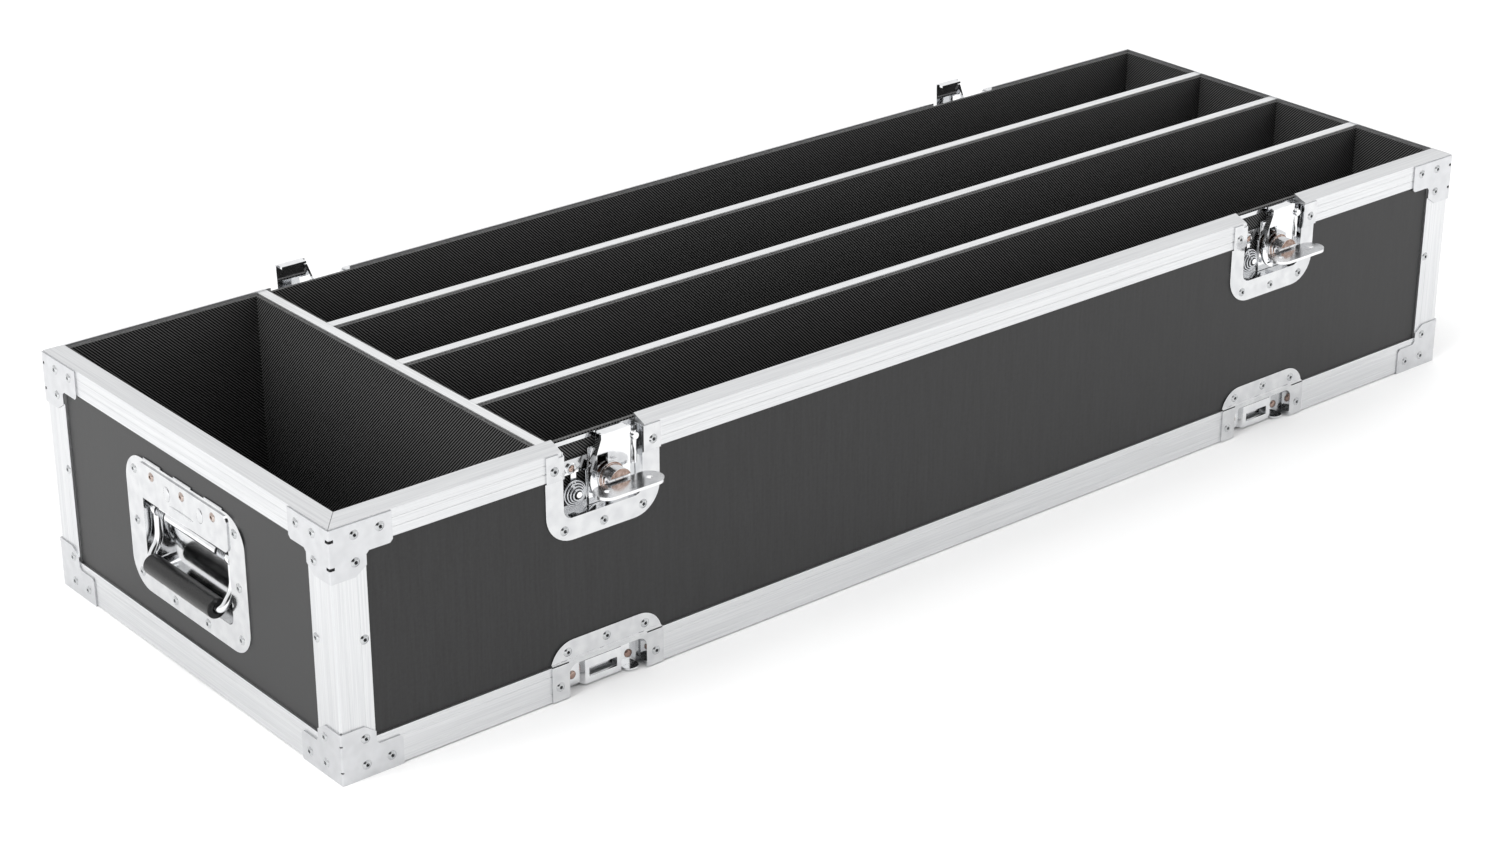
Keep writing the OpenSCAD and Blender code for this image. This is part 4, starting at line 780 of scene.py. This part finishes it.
def rounded(corners, reach, steps=7):
    """The path through the corners, in mm, with a curve in place of each inner corner."""
    path = [corners[0]]
    for before, corner, after in zip(corners, corners[1:], corners[2:]):
        start = corner + (before - corner).normalized() * min(reach, (before - corner).length * BEND_SHARE)
        stop = corner + (after - corner).normalized() * min(reach, (after - corner).length * BEND_SHARE)
        for k in range(steps + 1):
            t = k / steps
            path.append(start * (1 - t) ** 2 + corner * 2 * t * (1 - t) + stop * t ** 2)
    return path + [corners[-1]]


for end in ("left", "right"):
    corners = [Vector((ARM_X, ROD_DEPTH, ROD_Z - EYE_GAP)), Vector((ARM_X, ROD_DEPTH, GRIP_Z + CURL_START)),
        Vector((ARM_X, CURL_DEPTH, GRIP_Z + CURL_LOW)), Vector((ARM_X - GRIP_IN, GRIP_DEPTH, GRIP_Z))]
    corners += [Vector((-point.x, point.y, point.z)) for point in reversed(corners)]
    path = [at_end(end, *point) for point in rounded(corners, BEND_REACH)]
    shapes = [swept_wire(path, ROD_RADIUS, sides=20)]
    for way in (-1, 1):
        hub = at_end(end, way * ARM_X, ROD_DEPTH, ROD_Z)
        along = at_end(end, way * (ARM_X + 1), ROD_DEPTH, ROD_Z) - hub
        shapes.append(turned_shape(EYE, hub, along, segments=32, closed=True))
    smooth_bail = piece_of("bent_bail_" + end, *join_shapes(shapes), bail_steel, "handle_" + end,
        "latch_steel", sharp=50)
    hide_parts("bail_" + end)
print("rod of", len(path), "points in each bail")

# %% [markdown]
# ## Keeper rivets, ring nuts and studs
# The feet of each keeper's bracket are held by two solid rivets with low round heads, washed with copper. The
# bracket of the latch spring is held by a stud in a ring nut. All are turned parts, so a profile of (radius,
# height) is enough for each.

# %% Rivets, nuts and studs of keepers and latches
BUTTON = [(3.6, 0), (3.6, 0.3), (3.4, 0.7), (2.9, 1.1), (2.1, 1.4), (1.2, 1.52), (0.3, 1.56)]
NUT = [(4.4, 0), (4.4, 1.3), (4.1, 1.6), (3.1, 1.6), (2.8, 1.3), (2.7, 0.4)]
STUD_END = [(2.7, 0), (2.6, 1.4), (1.9, 2.0), (0.3, 2.2)]
KEEPER_RIVET_X = 27.5
KEEPER_RIVET_Z = 12
PLATE_DEPTH = 10.3
NUT_X = -23.5
NUT_Z = pivots["spindle_turn_front_left"].z + 13
buttons, nuts, stud_ends = [], [], []
for name in LATCHES:
    out = at_latch(name, 0, -1, 0) - at_latch(name, 0, 0, 0)
    for across in (-KEEPER_RIVET_X, KEEPER_RIVET_X):
        buttons.append(turned_shape(BUTTON, at_latch(name, across, PLATE_DEPTH, KEEPER_RIVET_Z), out))
    nut_seat = at_latch(name, NUT_X, PLATE_DEPTH, NUT_Z)
    nuts.append(turned_shape(NUT, nut_seat, out))
    stud_ends.append(turned_shape(STUD_END, nut_seat, out))
piece_of("keeper_rivets", *join_shapes(buttons), copper_washed, "case", "rivet_steel")
piece_of("spring_nuts", *join_shapes(nuts), latch_steel, "case", "latch_steel")
piece_of("stud_ends", *join_shapes(stud_ends), copper_washed, "case", "rivet_steel")
print(len(buttons), "keeper rivets and", len(nuts), "ring nuts")

# %% [markdown]
# ## Pressings of the handle dish
# The handle's cover is pressed: it has a long bead, two nibs that stiffen it, and a lower edge rolled back
# round the hinge rod. Three tabs of the dish stand up along its top edge. They are too fine for the CAD
# model, and they are what makes the dish look pressed and not cut. Nibs and bead are loops of an ellipse that
# shrink as they rise, as a punch leaves them, and the rest are sections carried across the end.

# %% Nibs and beads
COVER_FACE = HALF_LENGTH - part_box("handle_covers")[1].x / MM
COVER_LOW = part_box("handle_covers")[0].z / MM
COVER_SINK = 0.02
NIB_RISE_DEGREES = (0, 15, 30, 45, 60, 75, 86)
NIB_POINTS = 28
# Across the cover, and up from its lower edge
NIB_PLACES = ((-22.5, 17.4), (26.5, 17.4))
BEAD_PLACE = (-2, 8.4)


def nib(end, across, up, wide, tall, proud):
    """A pressed oval bump on the cover, with its middle up from the cover's lower edge."""
    loops = []
    around = [2 * math.pi * k / NIB_POINTS for k in range(NIB_POINTS)]
    for rise in NIB_RISE_DEGREES:
        share, height = math.cos(math.radians(rise)), math.sin(math.radians(rise))
        depth = COVER_FACE + COVER_SINK - proud * height
        loops.append([at_end(end, across + wide / 2 * share * math.cos(a), depth,
            COVER_LOW + up + tall / 2 * share * math.sin(a)) for a in around])
    return rings(loops)


pressed = []
for end in ("left", "right"):
    for place in NIB_PLACES:
        pressed.append(nib(end, *place, wide=8.5, tall=13, proud=1.3))
    pressed.append(nib(end, *BEAD_PLACE, wide=37, tall=2.4, proud=0.9))
piece_of("cover_pressings", *join_shapes(pressed), dish_steel, "case", "dish_steel", sharp=50)
print(len(pressed), "pressings")

# %% Rolled edges and tabs
SHEET = 0.96
TUBE = 4.4
ROLL_HALF = 37.5
ROLL_SINK = 0.2
ROLL_LAP = 1
ROLL_DEGREES = range(-50, 231, 14)
DISH_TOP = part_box("handle_dish_left")[1].z / MM
TAB_SEAT = 0.3
TAB_RISE = 1.3
TAB_PITCH = 45.5
TAB_HALF = 13
TAB_BACK, TAB_FRONT = 1.9, 0.86
TAB_EDGE = 0.4
TAB_CREST = (1.6, 1.15)


def drawn_strip(profile, end, start, stop):
    """A closed profile of (inward, up) in mm, carried across an end from start to stop."""
    return rings([[at_end(end, across, inward, up) for inward, up in profile] for across in (start, stop)])


# The rolled edge goes down from the cover, round the rod and back up, as one bent sheet
bent = [(COVER_FACE + ROLL_SINK, COVER_LOW + ROLL_LAP), (COVER_FACE + ROLL_SINK, COVER_LOW - ROLL_LAP)]
bent += [(ROD_DEPTH - TUBE * math.cos(math.radians(t)), ROD_Z - TUBE * math.sin(math.radians(t)))
    for t in ROLL_DEGREES]
inner = []
for i, (inward, up) in enumerate(bent):
    before, after = bent[max(i - 1, 0)], bent[min(i + 1, len(bent) - 1)]
    run = Vector((after[0] - before[0], after[1] - before[1])).normalized()
    inner.append((inward - run.y * SHEET, up + run.x * SHEET))
low, high = DISH_TOP - TAB_SEAT, DISH_TOP + TAB_RISE
tab = [(TAB_BACK, low), (TAB_BACK, high - TAB_EDGE), (TAB_CREST[0], high), (TAB_CREST[1], high),
    (TAB_FRONT, high - TAB_EDGE), (TAB_FRONT, low)]
rolled, tabs = [], []
for end in ("left", "right"):
    rolled.append(drawn_strip(bent + inner[::-1], end, -ROLL_HALF, ROLL_HALF))
    for across in (-TAB_PITCH, 0, TAB_PITCH):
        tabs.append(drawn_strip(tab, end, across - TAB_HALF, across + TAB_HALF))
piece_of("rolled_edges", *join_shapes(rolled), latch_steel, "case", "dish_steel", sharp=50)
piece_of("dish_tabs", *join_shapes(tabs), bracket_steel, "case", "dish_steel")
print(len(rolled), "rolled edges and", len(tabs), "tabs")

# %% [markdown]
# ## Painted shade behind the bracket slots
# Two slots cross the bend of every upper corner bracket, where the press would have torn the sheet. The
# section is nicked behind them, and that hollow lies in shade, so they look black. A thin near black sheet in
# each slot, bent round the corner, paints that shade.

# %% Painted shade in the slots
SLOT_DROPS = (9, 31)
SLOT_HALF = 1.15
SLOT_REACH = 4.1
HOLLOW_IN, HOLLOW_OUT = 0.2, -0.6
BRACKET_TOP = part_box("top_corner_brackets")[1].z / MM
# Seen from above, the painted shade sheet is an angle with its bend at the corner of the case
angle = [(HOLLOW_IN, SLOT_REACH), (HOLLOW_OUT, SLOT_REACH), (HOLLOW_OUT, HOLLOW_OUT),
    (SLOT_REACH, HOLLOW_OUT), (SLOT_REACH, HOLLOW_IN), (HOLLOW_IN, HOLLOW_IN)]
slot_shade_sheets = []
for x_way in (-1, 1):
    for y_way in (-1, 1):
        for level in [BRACKET_TOP - drop for drop in SLOT_DROPS]:
            slot_shade_sheets.append(rings([[Vector((x_way * (HALF_LENGTH - a), y_way * (HALF_WIDTH - b), up)) * MM
                for a, b in angle] for up in (level - SLOT_HALF, level + SLOT_HALF)]))
# A near black sheet paints the shade in each slot's hollow
piece_of("slot_painted_shade", *join_shapes(slot_shade_sheets), painted_shade_steel, "case", "bracket_steel")
print(len(slot_shade_sheets), "slot_shade_sheets")
